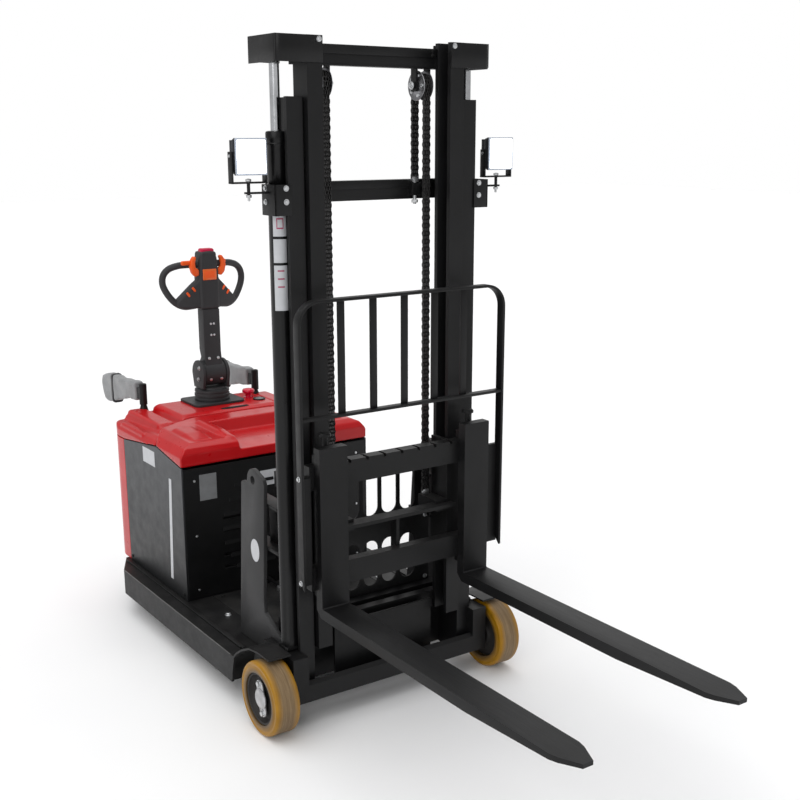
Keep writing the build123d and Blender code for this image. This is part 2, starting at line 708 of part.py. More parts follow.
# ---------------------------------------------------------------- carriage
def carriage():
    """Fork carriage: hanger bars, side plates, rollers and chain anchors."""
    low = BAR_TOP - CARRIAGE_H
    body = box(BAR_X0, BAR_X1, -BAR_HALF_W, BAR_HALF_W, BAR_TOP - BAR_H, BAR_TOP)
    body += box(BAR_X0, BAR_X1, -BAR_HALF_W, BAR_HALF_W, low, low + BAR_H)
    body += box(MAST_FRONT_X + CLEAR + 2, BAR_X1 - 8, -225, 225, 668, 680)
    body += box(MAST_FRONT_X + CLEAR + 2, BAR_X0 + 12, -6, 6, low + BAR_H - 12, 670)
    roller_r = (MAST_FRONT_X - INNER_REAR_X) / 2 - FLANGE - 1
    roller_x = (MAST_FRONT_X + INNER_REAR_X) / 2
    for side in (1, -1):
        body += box(INNER_REAR_X + 20, BAR_X0, side * 209, side * 225, low - 6, BAR_TOP - 6)
        anchor_z = CARRIAGE_ANCHOR_Z
        body += box(INNER_REAR_X + 8, BAR_X0, side * (SHEAVE_Y - 22), side * 210, anchor_z - 40, anchor_z)
        for z in (low + 60, BAR_TOP - 50):
            body += rod_y(roller_x, z, roller_r, side * 229, side * (INNER_OUT_Y - WEB - 4))
            body += rod_y(roller_x, z, 10, side * 224, side * 230)
        body += box(BAR_X0 + 10, REST_X - 2, side * (BAR_HALF_W - 2), side * (BAR_HALF_W + 14), 520, 868)
        body += box(BAR_X1 - 6, REST_X, side * (BAR_HALF_W + 2), side * REST_HALF_W, 520, 868)
    for k in range(-3, 4):
        body -= box(BAR_X0, BAR_X1, 66 * k - 5, 66 * k + 5, BAR_TOP - 10, BAR_TOP)
    save("carriage", body)


def backrest():
    """Load backrest: bent frame, lower bar and five upright bars."""
    x0, x1 = REST_X, REST_X + REST_T
    w, leg = REST_HALF_W, 31.0
    outline = [
        (-w, 530),
        (-w + leg, 512),
        (-w + leg, 1345),
        (-w + 82, REST_TOP - 20),
        (w - 82, REST_TOP - 20),
        (w - leg, 1345),
        (w - leg, 512),
        (w, 530),
        (w, 1352),
        (w - 78, REST_TOP),
        (-w + 78, REST_TOP),
        (-w, 1352),
    ]
    frame = slab_yz(outline, x0, x1)
    frame += box(x0, x1, -w + 5, w - 5, REST_LOW, REST_LOW + 26)
    for y in REST_BARS_Y:
        frame += box(x0, x1, y - REST_BAR_W / 2, y + REST_BAR_W / 2, REST_LOW + 5, REST_TOP - 10)
    save("backrest", frame)


def fork_blade(y):
    """One forged fork: shank, tapered blade with a cut tip, and hooks."""
    x0, x1 = BAR_X1, BAR_X1 + FORK_T
    under = FORK_TOP_Z - FORK_T
    side = slab_xz(
        [
            (x0, under + 24),
            (x0 + 24, under),
            (FORK_TIP_X - 420, under),
            (FORK_TIP_X, FORK_TOP_Z - 12),
            (FORK_TIP_X, FORK_TOP_Z),
            (x1 + 3, FORK_TOP_Z),
            (x1, FORK_TOP_Z + 3),
            (x1, SHANK_TOP),
            (x0, SHANK_TOP),
        ],
        y - FORK_W / 2,
        y + FORK_W / 2,
    )
    half = FORK_W / 2
    for sign in (1, -1):
        side -= slab_xy(
            [
                (FORK_TIP_X + 1, y + sign * (half + 1)),
                (FORK_TIP_X - 90, y + sign * (half + 1)),
                (FORK_TIP_X - 60, y + sign * (half - 6)),
                (FORK_TIP_X + 1, y + sign * (half - 34)),
            ],
            under - 5,
            FORK_TOP_Z + 5,
        )
    side += box(BAR_X0 + 8, x0 + 1, y - half + 10, y + half - 10, BAR_TOP + 0.5, BAR_TOP + 30)
    low = BAR_TOP - CARRIAGE_H
    side += box(BAR_X0 + 8, x0 + 1, y - half + 10, y + half - 10, low - 26, low - 0.5)
    return side


def forks():
    """Two forks, each with its locking pin."""
    for side in (1, -1):
        y = side * FORK_Y
        pin = rod_z(BAR_X0 + 20, y, 6, BAR_TOP + 30, SHANK_TOP + 25)
        pin += rod_z(BAR_X0 + 20, y, 19, SHANK_TOP + 25, SHANK_TOP + 32)
        save(f"fork_{side_name(side)}", fork_blade(y) + pin)


# ---------------------------------------------------------------- fittings
def work_lights():
    """Lamps on brackets clamped to the outer mast."""
    for side in (1, -1):
        y = side * 459
        reach = CYL_Y + CYL_R + 8
        arm = box(OUTER_FRONT_X, OUTER_FRONT_X + 6, side * 300, side * (reach + 8), 1650, 1740)
        arm += box(-60, OUTER_FRONT_X + 6, side * reach, side * (reach + 8), 1650, 1740)
        arm += box(-24, -14, side * reach, side * 468, 1716, 1746)
        for lug in (-62, 56):
            arm += box(-30, -10, y + lug, y + lug + 6, 1746, 1835)
        arm += box(-30, -10, y - 62, y + 62, 1746, 1752)
        save(f"light_bracket_{side_name(side)}", arm)
        lamp = box(-40, 10, y - 54, y + 54, 1768, 1876)
        lamp = fillet(lamp.edges().filter_by(Axis.X), 12)
        save(f"work_light_{side_name(side)}", lamp)


def guard_arms():
    """Swinging side guard arms on fixed posts."""
    for side in (1, -1):
        y = side * POST_Y
        post = rod_z(POST_X, y, 12, SHOULDER_Z, POST_TOP)
        post += Pos(POST_X, y, SHOULDER_Z + 15) * Cone(21, 13, 30)
        save(f"arm_post_{side_name(side)}", post)
        sleeve = rod_z(POST_X, y, 16, SHOULDER_Z + 34, POST_TOP - 2)
        sleeve -= rod_z(POST_X, y, 12 + RUN_GAP, SHOULDER_Z, POST_TOP)
        link = box(POST_X - 38, POST_X - 14, y - 12, y + 12, ARM_NEAR_Z + 12, POST_TOP - 22)
        pad = slab_xz(
            [
                (POST_X - 38, ARM_NEAR_Z),
                (POST_X - 150, ARM_NEAR_Z - 8),
                (-1650, ARM_LOW_Z + 30),
                (-1770, ARM_LOW_Z),
                (ARM_REAR_X + 14, ARM_LOW_Z + 14),
                (ARM_REAR_X, ARM_LOW_Z + 44),
                (ARM_REAR_X, ARM_Z1 - 42),
                (ARM_REAR_X + 16, ARM_Z1 - 20),
                (-1640, ARM_Z1 - 8),
                (POST_X - 38, ARM_Z1),
            ],
            y - ARM_T / 2,
            y + ARM_T / 2,
        )
        save(f"arm_sleeve_{side_name(side)}", sleeve + link)
        save(f"arm_pad_{side_name(side)}", pad)


def platform():
    """Operator platform, folded up behind the body."""
    x1 = BODY_REAR_X - CLEAR
    hinge_z = PLATFORM_HINGE_Z
    plate = box(x1 - 28, x1 - 10, -255, 255, hinge_z + 20, 600)
    plate += box(x1 - 28, x1 - 12, -250, 250, hinge_z - 8, hinge_z + 22)
    plate += rod_y(PLATFORM_HINGE_X, hinge_z, 8, -274, 274)
    save("platform", plate)


front_wheels()
chassis_frame()
deck()
stays()
body_panels()
battery_block()
hood()
controls()
drive()
tiller()
outer_mast()
guard_plate()
cylinders()
inner_mast()
sheaves()
chains()
carriage()
backrest()
forks()
work_lights()
guard_arms()
platform()
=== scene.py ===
import json
import math
import random

import bmesh
import bpy
from bpy.props import FloatProperty, FloatVectorProperty, PointerProperty
from mathutils import Matrix, Vector

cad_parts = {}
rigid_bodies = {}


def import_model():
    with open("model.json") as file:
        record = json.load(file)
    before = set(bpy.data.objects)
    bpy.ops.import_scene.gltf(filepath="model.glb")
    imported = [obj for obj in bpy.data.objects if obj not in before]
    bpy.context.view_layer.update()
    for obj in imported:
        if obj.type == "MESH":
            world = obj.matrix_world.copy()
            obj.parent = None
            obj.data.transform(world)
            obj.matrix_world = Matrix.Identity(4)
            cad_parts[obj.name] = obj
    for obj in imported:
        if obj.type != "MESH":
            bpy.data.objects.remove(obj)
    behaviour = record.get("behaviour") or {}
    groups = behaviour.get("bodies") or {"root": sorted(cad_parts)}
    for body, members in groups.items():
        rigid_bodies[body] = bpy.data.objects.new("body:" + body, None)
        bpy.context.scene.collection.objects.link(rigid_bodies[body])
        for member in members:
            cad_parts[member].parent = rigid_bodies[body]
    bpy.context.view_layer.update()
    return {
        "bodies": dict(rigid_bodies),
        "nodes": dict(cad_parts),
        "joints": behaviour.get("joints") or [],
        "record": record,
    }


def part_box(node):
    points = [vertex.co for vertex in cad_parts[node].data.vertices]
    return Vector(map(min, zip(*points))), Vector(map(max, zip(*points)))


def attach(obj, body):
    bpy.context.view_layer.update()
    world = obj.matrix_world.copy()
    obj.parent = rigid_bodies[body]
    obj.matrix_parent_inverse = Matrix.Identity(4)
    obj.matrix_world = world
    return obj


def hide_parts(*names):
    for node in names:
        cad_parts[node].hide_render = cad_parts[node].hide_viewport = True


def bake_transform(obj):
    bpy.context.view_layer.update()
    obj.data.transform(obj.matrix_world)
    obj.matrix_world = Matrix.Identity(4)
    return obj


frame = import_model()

bl_info = {
    "name": "Electric stacker dressing",
    "version": (1, 0, 0),
    "blender": (4, 5, 0),
    "location": "View3D > Sidebar > Stacker",
    "description": "Finishes, fastenings and fittings of an electric stacker",
    "category": "Object",
}

SIDES = (("left", 1), ("right", -1))
SHARP = 0.6
SMOOTH_BELOW = 38
FLAT_WITHIN = 0.6
WELD = 2e-6


def middle(node):
    """Middle of a CAD node's box."""
    low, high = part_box(node)
    return (low + high) / 2


AXLE_X = middle("tyre_left").x
MM = 0.001
TURN = 2 * math.pi


def at(x, y, z):
    """A point given in millimetres from the front axle, on the floor."""
    return Vector((AXLE_X + x * MM, y * MM, z * MM))


def span(node):
    """Low and high corners of a CAD node, in millimetres from the front axle."""
    return [((v.x - AXLE_X) / MM, v.y / MM, v.z / MM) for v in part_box(node)]


def arc(centre, radius, start, stop, steps=8):
    """Points of an arc in a plane; angles in degrees."""
    angles = [math.radians(start + (stop - start) * k / steps) for k in range(steps + 1)]
    return [(centre[0] + radius * math.cos(a), centre[1] + radius * math.sin(a)) for a in angles]


# Solids
class Solid:
    """Gathers simple solids in one mesh. Sizes are millimetres from the front axle."""

    def __init__(self):
        self.bm = bmesh.new()

    def merge(self, other, matrix=None):
        """Takes in another working mesh, its faces pointing outwards."""
        if matrix is not None:
            bmesh.ops.transform(other, matrix=matrix, verts=other.verts)
        bmesh.ops.recalc_face_normals(other, faces=other.faces)
        part = bpy.data.meshes.new("part")
        other.to_mesh(part)
        other.free()
        self.bm.from_mesh(part)
        bpy.data.meshes.remove(part)
        return self

    @staticmethod
    def eased(bm, width, steps):
        if width > 0:
            edges = [e for e in bm.edges if len(e.link_faces) == 2 and e.calc_face_angle() > SHARP]
            bmesh.ops.bevel(bm, geom=edges, offset=width * MM, segments=steps, profile=0.5, affect="EDGES",
                            clamp_overlap=True)
        return bm

    def block(self, low, high, ease=1.0, steps=2, turn=None):
        """A box between two corners, with eased edges, optionally turned about its middle."""
        bm = bmesh.new()
        bmesh.ops.create_cube(bm, size=1)
        a, b = at(*low), at(*high)
        size = Matrix.Diagonal((abs(b.x - a.x), abs(b.y - a.y), abs(b.z - a.z), 1))
        bmesh.ops.transform(bm, matrix=size, verts=bm.verts)
        self.eased(bm, ease, steps)
        return self.merge(bm, Matrix.Translation((a + b) / 2) @ (turn or Matrix.Identity(4)))

    def turned(self, origin, axis, profile, steps=48, closed=False):
        """A turned solid: profile pairs are (distance along the axis, radius)."""
        bm = bmesh.new()
        rings = []
        for along, radius in profile:
            if radius < 1e-6:
                rings.append([bm.verts.new((0, 0, along * MM))])
                continue
            size = radius * MM
            rings.append([
                bm.verts.new((size * math.cos(TURN * k / steps), size * math.sin(TURN * k / steps), along * MM))
                for k in range(steps)
            ])
        pairs = list(zip(rings, rings[1:]))
        if closed:
            pairs.append((rings[-1], rings[0]))
        for low, high in pairs:
            for k in range(steps):
                n = (k + 1) % steps
                if len(low) == 1 and len(high) == 1:
                    break
                if len(low) == 1:
                    bm.faces.new((low[0], high[n], high[k]))
                elif len(high) == 1:
                    bm.faces.new((low[k], low[n], high[0]))
                else:
                    bm.faces.new((low[k], low[n], high[n], high[k]))
        turn = Vector((0, 0, 1)).rotation_difference(Vector(axis)).to_matrix().to_4x4()
        return self.merge(bm, Matrix.Translation(at(*origin)) @ turn)

    def rod(self, start, end, radius, ease=0.6, steps=28):
        """A round bar between two points."""
        a, b = at(*start), at(*end)
        length = (b - a).length / MM
        e = min(ease, radius * 0.4, length * 0.4)
        profile = [(0, 0), (0, radius - e), (e, radius), (length - e, radius), (length, radius - e), (length, 0)]
        return self.turned(start, b - a, profile, steps)

    def prism(self, outline, normal, low, high, ease=1.0, steps=2):
        """A flat outline carried along X, Y or Z."""
        bm = bmesh.new()
        order = {"X": lambda p, q, w: (w, p, q), "Y": lambda p, q, w: (p, w, q), "Z": lambda p, q, w: (p, q, w)}
        place = order[normal]
        base = [bm.verts.new(at(*place(p, q, low))) for p, q in outline]
        top = [bm.verts.new(at(*place(p, q, high))) for p, q in outline]
        count = len(outline)
        bm.faces.new(base)
        bm.faces.new(list(reversed(top)))
        for k in range(count):
            n = (k + 1) % count
            bm.faces.new((base[k], base[n], top[n], top[k]))
        bmesh.ops.recalc_face_normals(bm, faces=bm.faces)
        self.eased(bm, ease, steps)
        return self.merge(bm)

    def tube(self, points, radius, sides=16, smooth=6):
        """A bent bar through points, rounded by a smooth spline, with closed ends."""
        path = spline([at(*p) for p in points], smooth)
        bm = bmesh.new()
        rings = []
        up = Vector((1, 0, 0))
        for k, p in enumerate(path):
            tangent = (path[min(k + 1, len(path) - 1)] - path[max(k - 1, 0)]).normalized()
            side = tangent.cross(up)
            if side.length < 1e-4:
                side = tangent.cross(Vector((0, 1, 0)))
            side.normalize()
            up = side.cross(tangent).normalized()
            rings.append([
                bm.verts.new(p + (side * math.cos(TURN * j / sides) + up * math.sin(TURN * j / sides)) * radius * MM)
                for j in range(sides)
            ])
        for low, high in zip(rings, rings[1:]):
            for j in range(sides):
                n = (j + 1) % sides
                bm.faces.new((low[j], low[n], high[n], high[j]))
        bm.faces.new(rings[0])
        bm.faces.new(rings[-1])
        return self.merge(bm)

    def shell(self, centre, radius, angles, heights, thick=0.6, steps=10):
        """A curved sheet about an upright axis, between two angles and two heights."""
        outer = arc(centre, radius + thick, angles[0], angles[1], steps)
        inner = arc(centre, radius, angles[1], angles[0], steps)
        return self.prism(outer + inner, "Z", heights[0], heights[1], 0)

    def cad(self, node):
        """A merged copy of a CAD node, its flat faces made whole."""
        bm = bmesh.new()
        bm.from_mesh(frame["nodes"][node].data)
        bmesh.ops.remove_doubles(bm, verts=bm.verts, dist=WELD)
        bmesh.ops.dissolve_limit(bm, angle_limit=math.radians(FLAT_WITHIN), verts=bm.verts, edges=bm.edges)
        return self.merge(bm)

    def mesh(self, name, angle=SMOOTH_BELOW):
        me = bpy.data.meshes.new(name)
        self.bm.to_mesh(me)
        self.bm.free()
        me.shade_smooth()
        me.set_sharp_from_angle(angle=math.radians(angle))
        return me

    def made(self, name, finish, body, slot=None, nodes=(), angle=SMOOTH_BELOW):
        """The solid as a finished piece on its body, standing for CAD nodes."""
        return piece(name, self.mesh(name, angle), finish, body, nodes)


def spline(points, steps):
    """Smooth points through a list of points."""
    if steps < 2 or len(points) < 3:
        return list(points)
    out = []
    ends = [2 * points[0] - points[1]] + list(points) + [2 * points[-1] - points[-2]]
    for a, b, c, d in zip(ends, ends[1:], ends[2:], ends[3:]):
        for k in range(steps):
            t = k / steps
            out.append(
                0.5 * ((2 * b) + (c - a) * t + (2 * a - 5 * b + 4 * c - d) * t * t
                       + (3 * b - a - 3 * c + d) * t * t * t)
            )
    out.append(points[-1])
    return out


def evaluated(obj, name):
    """The plain mesh that an object's modifiers make."""
    graph = bpy.context.evaluated_depsgraph_get()
    return bpy.data.meshes.new_from_object(obj.evaluated_get(graph), depsgraph=graph)


def loose(name, mesh):
    """An object with no body yet."""
    obj = bpy.data.objects.new(name, mesh)
    bpy.context.scene.collection.objects.link(obj)
    return obj


def modified(name, mesh, *modifiers):
    """A mesh after some modifiers: each is (kind, settings)."""
    obj = loose(name + "_work", mesh)
    for kind, settings in modifiers:
        mod = obj.modifiers.new(kind.lower(), kind)
        for key, value in settings.items():
            setattr(mod, key, value)
    bpy.context.view_layer.update()
    made = evaluated(obj, name)
    bpy.data.objects.remove(obj)
    bpy.data.meshes.remove(mesh)
    made.name = name
    return made


def cut(name, solid, tool, *after):
    """The mesh of a solid less another, then after some modifiers."""
    cutter = loose("cutter", tool.mesh("cutter"))
    less = ("BOOLEAN", {"operation": "DIFFERENCE", "object": cutter, "solver": "EXACT"})
    mesh = modified(name, solid.mesh(name), less, *after)
    spare = cutter.data
    bpy.data.objects.remove(cutter)
    bpy.data.meshes.remove(spare)
    return mesh


def piece(name, mesh, finish, body, replaces=()):
    """A finished piece on its body."""
    if finish is not None:
        mesh.materials.clear()
        mesh.materials.append(FINISHES[finish])
    obj = loose(name, mesh)
    if body:
        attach(obj, body)
    if replaces:
        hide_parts(*replaces)
    return obj


# Finishes
FINISHES = {}


class NodeTree:
    """A node tree built in code. Sockets are given by name, or by place as n0, n1."""

    prefix = ""

    def fill(self, node, sockets):
        for key, value in sockets.items():
            socket = node.inputs[int(key[1:]) if key[0] == "n" and key[1:].isdigit() else key.replace("_", " ")]
            for item in value if isinstance(value, list) else [value]:
                if isinstance(item, bpy.types.NodeSocket):
                    self.tree.links.new(item, socket)
                else:
                    socket.default_value = item
        return node

    def put(self, kind, settings=None, **sockets):
        node = self.tree.nodes.new(self.prefix + kind)
        for key, value in (settings or {}).items():
            setattr(node, key, value)
        return self.fill(node, sockets)


class Finish(NodeTree):
    """A procedural material on Object coordinates."""

    prefix = "ShaderNode"

    def __init__(self, name):
        self.material = bpy.data.materials.new(name)
        self.material.use_nodes = True
        self.tree = self.material.node_tree
        self.tree.nodes.clear()
        out = self.tree.nodes.new("ShaderNodeOutputMaterial")
        self.shader = self.tree.nodes.new("ShaderNodeBsdfPrincipled")
        self.tree.links.new(self.shader.outputs[0], out.inputs[0])
        self.where = self.put("TexCoord").outputs["Object"]
        FINISHES[name] = self.material

    def noise(self, scale, detail=3, rough=0.55, stretch=None):
        where = self.where
        if stretch:
            where = self.put("Mapping", Vector=where, Scale=stretch).outputs[0]
        return self.put("TexNoise", Vector=where, Scale=scale, Detail=detail, Roughness=rough).outputs["Fac"]

    def between(self, value, low, high, out_low=0.0, out_high=1.0):
        return self.put(
            "MapRange", Value=value, From_Min=low, From_Max=high, To_Min=out_low, To_Max=out_high
        ).outputs[0]

    def math(self, kind, first, second=0.0):
        return self.put("Math", {"operation": kind}, n0=first, n1=second).outputs[0]

    def blend(self, factor, first, second):
        return self.put("Mix", {"data_type": "RGBA"}, n0=factor, n6=first, n7=second).outputs[2]

    def shades(self, factor, rgb, dark, light):
        """One colour between a darker and a lighter shade of itself."""
        return self.blend(factor, colour(rgb, dark), colour(rgb, light))

    def relief(self, height, strength, distance=0.0004, under=None):
        sockets = {"Height": height, "Strength": strength, "Distance": distance}
        if under is not None:
            sockets["Normal"] = under
        return self.put("Bump", **sockets).outputs[0]

    def shade(self, **sockets):
        self.fill(self.shader, sockets)
        return self.material

    def facing_up(self):
        normal = self.put("NewGeometry").outputs["Normal"]
        return self.put("SeparateXYZ", Vector=normal).outputs["Z"]


def colour(rgb, factor=1.0):
    """An opaque colour, made darker or lighter by a factor."""
    return (rgb[0] * factor, rgb[1] * factor, rgb[2] * factor, 1.0)


def painted(name, rgb, rough, grain=900.0, bump=0.12, cloud=5.0, spread=0.3, dust_and_sheen=0.0, **shader):
    """Paint or powder coat: a clouded colour, a fine grain, and top faces lightened partly by dust and partly by
    painted sheen.
    """
    f = Finish(name)
    clouds = f.noise(cloud, 5, 0.6)
    base = f.shades(f.between(clouds, 0.3, 0.7), rgb, 1 - spread, 1 + spread)
    # Top faces turn lighter: part dust, part painted highlight of light falling from above.
    if dust_and_sheen:
        lit = f.math("MULTIPLY", f.between(f.facing_up(), 0.6, 1.0), f.between(f.noise(cloud * 3, 4), 0.35, 0.75))
        base = f.blend(f.math("MULTIPLY", lit, dust_and_sheen), base, (0.10, 0.097, 0.09, 1))
    smear = f.between(f.noise(cloud * 4, 6, 0.7), 0.3, 0.75, rough[0], rough[1])
    shader.setdefault("Specular_IOR_Level", 0.27)
    return f.shade(
        Base_Color=base, Roughness=smear, Normal=f.relief(f.noise(grain, 2), bump), **shader
    )


def worn_steel(name, rgb, rough, scratch_axis=(1.0, 60.0, 60.0), bright=0.35, amount=0.68, **shader):
    """Painted or bare steel with fine scratches along one axis."""
    f = Finish(name)
    lines = f.noise(14, 5, 0.7, scratch_axis)
    clouds = f.noise(7, 5, 0.65)
    marks = f.math("MULTIPLY", f.between(lines, amount, amount + 0.08), f.between(clouds, 0.45, 0.62))
    base = f.shades(f.between(clouds, 0.3, 0.7), rgb, 0.75, 1.3)
    base = f.blend(marks, base, (bright, bright, bright * 1.02, 1))
    shader.setdefault("Specular_IOR_Level", 0.27)
    return f.shade(
        Base_Color=base,
        Roughness=f.between(lines, 0.25, 0.75, rough[0], rough[1]),
        Normal=f.relief(lines, 0.12, 0.0003, f.relief(f.noise(700, 2), 0.1)),
        **shader,
    )


def tyre_finish(name, centre, half_width, amber):
    """Cast polyurethane: amber shoulders, a scuffed grey-brown band where it rolls."""
    f = Finish(name)
    x, y, z = (f.put("SeparateXYZ", Vector=f.where).outputs[k] for k in range(3))
    across = f.math("ABSOLUTE", f.math("SUBTRACT", f.math("ABSOLUTE", y), abs(centre.y)))
    dx = f.math("SUBTRACT", x, centre.x)
    dz = f.math("SUBTRACT", z, centre.z)
    radius = f.math("SQRT", f.math("ADD", f.math("MULTIPLY", dx, dx), f.math("MULTIPLY", dz, dz)))
    scuff = f.noise(30, 6, 0.7)
    edge = f.math("ADD", across, f.math("MULTIPLY", f.math("SUBTRACT", scuff, 0.5), 0.012))
    band = f.between(edge, half_width * 0.42, half_width * 0.86, 1.0, 0.0)
    rolled = f.between(radius, centre.z - 0.010, centre.z - 0.003)
    band = f.math("MULTIPLY", band, rolled)
    streaks = f.between(f.noise(9, 6, 0.7, (1, 26, 1)), 0.35, 0.7)
    worn = f.blend(streaks, (0.115, 0.078, 0.045, 1), (0.26, 0.19, 0.115, 1))
    base = f.shades(f.between(f.noise(12, 5), 0.3, 0.75), amber, 0.72, 1.2)
    rim = f.between(radius, centre.z - 0.036, centre.z - 0.014, 0.85, 0.0)
    base = f.blend(rim, base, (0.05, 0.035, 0.02, 1))
    base = f.blend(f.math("MULTIPLY", band, 0.9), base, worn)
    return f.shade(
        Base_Color=base,
        Roughness=f.between(band, 0, 1, 0.34, 0.62),
        Normal=f.relief(scuff, 0.25, 0.0008, f.relief(f.noise(420, 2), 0.12)),
        Specular_IOR_Level=0.3,
    )


def fabric(name, rgb, scale):
    """Woven cloth over a pad."""
    f = Finish(name)
    warp = f.put("TexWave", {"bands_direction": "X"}, Vector=f.where, Scale=scale, Distortion=0.4).outputs["Fac"]
    weft = f.put("TexWave", {"bands_direction": "Z"}, Vector=f.where, Scale=scale, Distortion=0.4).outputs["Fac"]
    weave = f.math("MULTIPLY", warp, weft)
    base = f.shades(f.between(f.noise(16, 5), 0.3, 0.7), rgb, 0.75, 1.2)
    base = f.blend(f.math("MULTIPLY", weave, 0.25), base, colour(rgb, 1.7))
    return f.shade(
        Base_Color=base, Roughness=f.between(weave, 0, 1, 0.72, 0.9),
        Normal=f.relief(weave, 0.35, 0.0005), Sheen_Weight=0.3,
    )


def make_finishes(look):
    """All the machine's finishes, by name."""
    red = tuple(look.body_red)
    black = tuple(look.steel_black)
    f = Finish("red_gloss")
    clouds = f.noise(4, 4)
    f.shade(
        Base_Color=f.shades(f.between(clouds, 0.3, 0.7), red, 0.88, 1.06),
        Roughness=f.between(f.noise(24, 5), 0.3, 0.7, 0.27, 0.36),
        Normal=f.relief(f.noise(38, 2), 0.03, 0.0005),
        Specular_IOR_Level=0.22,
        Coat_Weight=0.24,
        Coat_Roughness=0.10,
    )
    painted("emergency_red", (0.62, 0.004, 0.035), (0.22, 0.34), 500, 0.03, spread=0.1, Coat_Weight=0.4)
    painted("black_frame", black, (0.40, 0.56), 900, 0.16, dust_and_sheen=0.10)
    painted("deck_black", black, (0.5, 0.7), 420, 0.3, cloud=3, dust_and_sheen=0.22)
    # Painted highlight: a lighter grey standing for light caught along the rails' top edges.
    painted("edge_painted_highlight", (0.085, 0.085, 0.082), (0.4, 0.55), 300, 0.2, cloud=18, spread=0.4)
    painted("stay_grey", (0.030, 0.030, 0.031), (0.42, 0.56), 900, 0.16, dust_and_sheen=0.1)
    # Near-black for slots and vents: painted shade standing for the shade inside the openings.
    painted("slot_painted_shade", (0.004, 0.004, 0.004), (0.6, 0.8), 600, 0.1)
    painted("sheet_black", tuple(c * 0.8 for c in black), (0.36, 0.50), 1200, 0.10, dust_and_sheen=0.1)
    worn_steel("fork_black", black, (0.36, 0.56), amount=0.72, bright=0.10)
    worn_steel("channel_black", black, (0.34, 0.5), (60.0, 60.0, 1.0), bright=0.06, amount=0.72)
    painted("hub_black", (0.02, 0.018, 0.017), (0.5, 0.7), 350, 0.35, spread=0.4)
    painted("cylinder_black", tuple(c * 0.9 for c in black), (0.26, 0.38), 1100, 0.06)
    painted("tiller_black", (0.031, 0.031, 0.033), (0.44, 0.58), 1600, 0.28, spread=0.15)
    painted("lamp_body", (0.022, 0.024, 0.028), (0.34, 0.48), 900, 0.15, Metallic=0.3)
    painted("battery_grey", (0.05, 0.05, 0.05), (0.6, 0.75), 300, 0.3)
    painted("rubber_black", (0.014, 0.014, 0.015), (0.55, 0.75), 500, 0.2)
    painted("orange_switch", (0.80, 0.10, 0.012), (0.30, 0.42), 800, 0.08, spread=0.12)
    painted("display_orange", (0.75, 0.13, 0.02), (0.18, 0.28), 200, 0.02, spread=0.2, Coat_Weight=0.5)
    painted("button_red", (0.45, 0.006, 0.045), (0.25, 0.35), 700, 0.05, spread=0.1)
    painted("label_pale", (0.50, 0.51, 0.53), (0.35, 0.5), 600, 0.04, cloud=30, spread=0.06)
    painted("label_grey", (0.17, 0.175, 0.18), (0.3, 0.45), 600, 0.04, cloud=30, spread=0.1)
    painted("signal_black", (0.01, 0.01, 0.01), (0.4, 0.5), 600, 0.04)
    painted("lamp_rim", (0.42, 0.46, 0.53), (0.3, 0.4), 500, 0.05, spread=0.06)
    painted("label_red", (0.34, 0.05, 0.11), (0.35, 0.5), 600, 0.04, cloud=30, spread=0.1)
    grey = tuple(look.panel_grey)
    # Side panel grey painted from dark at the bottom to light at the top: painted shade low down, painted light
    # higher up.
    f = Finish("panel_grey")
    height = f.put("SeparateXYZ", Vector=f.where).outputs["Z"]
    wander = f.math("MULTIPLY", f.math("SUBTRACT", f.noise(3, 3), 0.5), 0.06)
    height = f.math("ADD", height, wander)
    f.shade(
        Base_Color=f.shades(f.between(height, 0.30, 0.72), grey, 0.45, 2.3),
        Roughness=f.between(f.noise(20, 5), 0.3, 0.7, 0.34, 0.48),
        Normal=f.relief(f.noise(1400, 2), 0.12),
        Specular_IOR_Level=0.3,
    )
    fabric("pad_grey", (0.20, 0.205, 0.21), 260)
    fabric("strap_black", (0.02, 0.02, 0.022), 420)
    painted("zinc_bolt", (0.60, 0.61, 0.62), (0.24, 0.42), 700, 0.1, cloud=40, spread=0.2, Metallic=0.95)
    painted("cast_silver", (0.52, 0.52, 0.53), (0.3, 0.5), 260, 0.3, cloud=25, spread=0.25, Metallic=0.85)
    worn_steel("sheave_steel", (0.20, 0.20, 0.21), (0.22, 0.4), (40.0, 40.0, 40.0), 0.6, Metallic=0.9)
    worn_steel("chain_steel", (0.035, 0.034, 0.034), (0.28, 0.48), (8.0, 8.0, 8.0), 0.3, Metallic=0.6)
    worn_steel("rod_chrome", (0.62, 0.63, 0.65), (0.10, 0.2), (60.0, 60.0, 2.0), 0.8, 0.7, Metallic=1.0)
    amber = tuple(look.tyre_amber)
    tyre_finish("tyre_amber", middle("tyre_left"), 0.045, amber)
    tyre_finish("drive_amber", middle("drive_tyre"), 0.038, amber)
    f = Finish("led_lens")
    cells = f.put("TexVoronoi", Vector=f.where, Scale=46).outputs["Distance"]
    f.shade(
        Base_Color=f.blend(f.between(cells, 0.1, 0.6), (0.95, 0.97, 1, 1), (0.75, 0.8, 0.9, 1)),
        Roughness=f.between(cells, 0, 1, 0.12, 0.3),
        Emission_Color=f.blend(f.between(cells, 0.1, 0.7), (1, 1, 1, 1), (0.72, 0.80, 0.95, 1)),
        Emission_Strength=look.lamp_strength,
    )


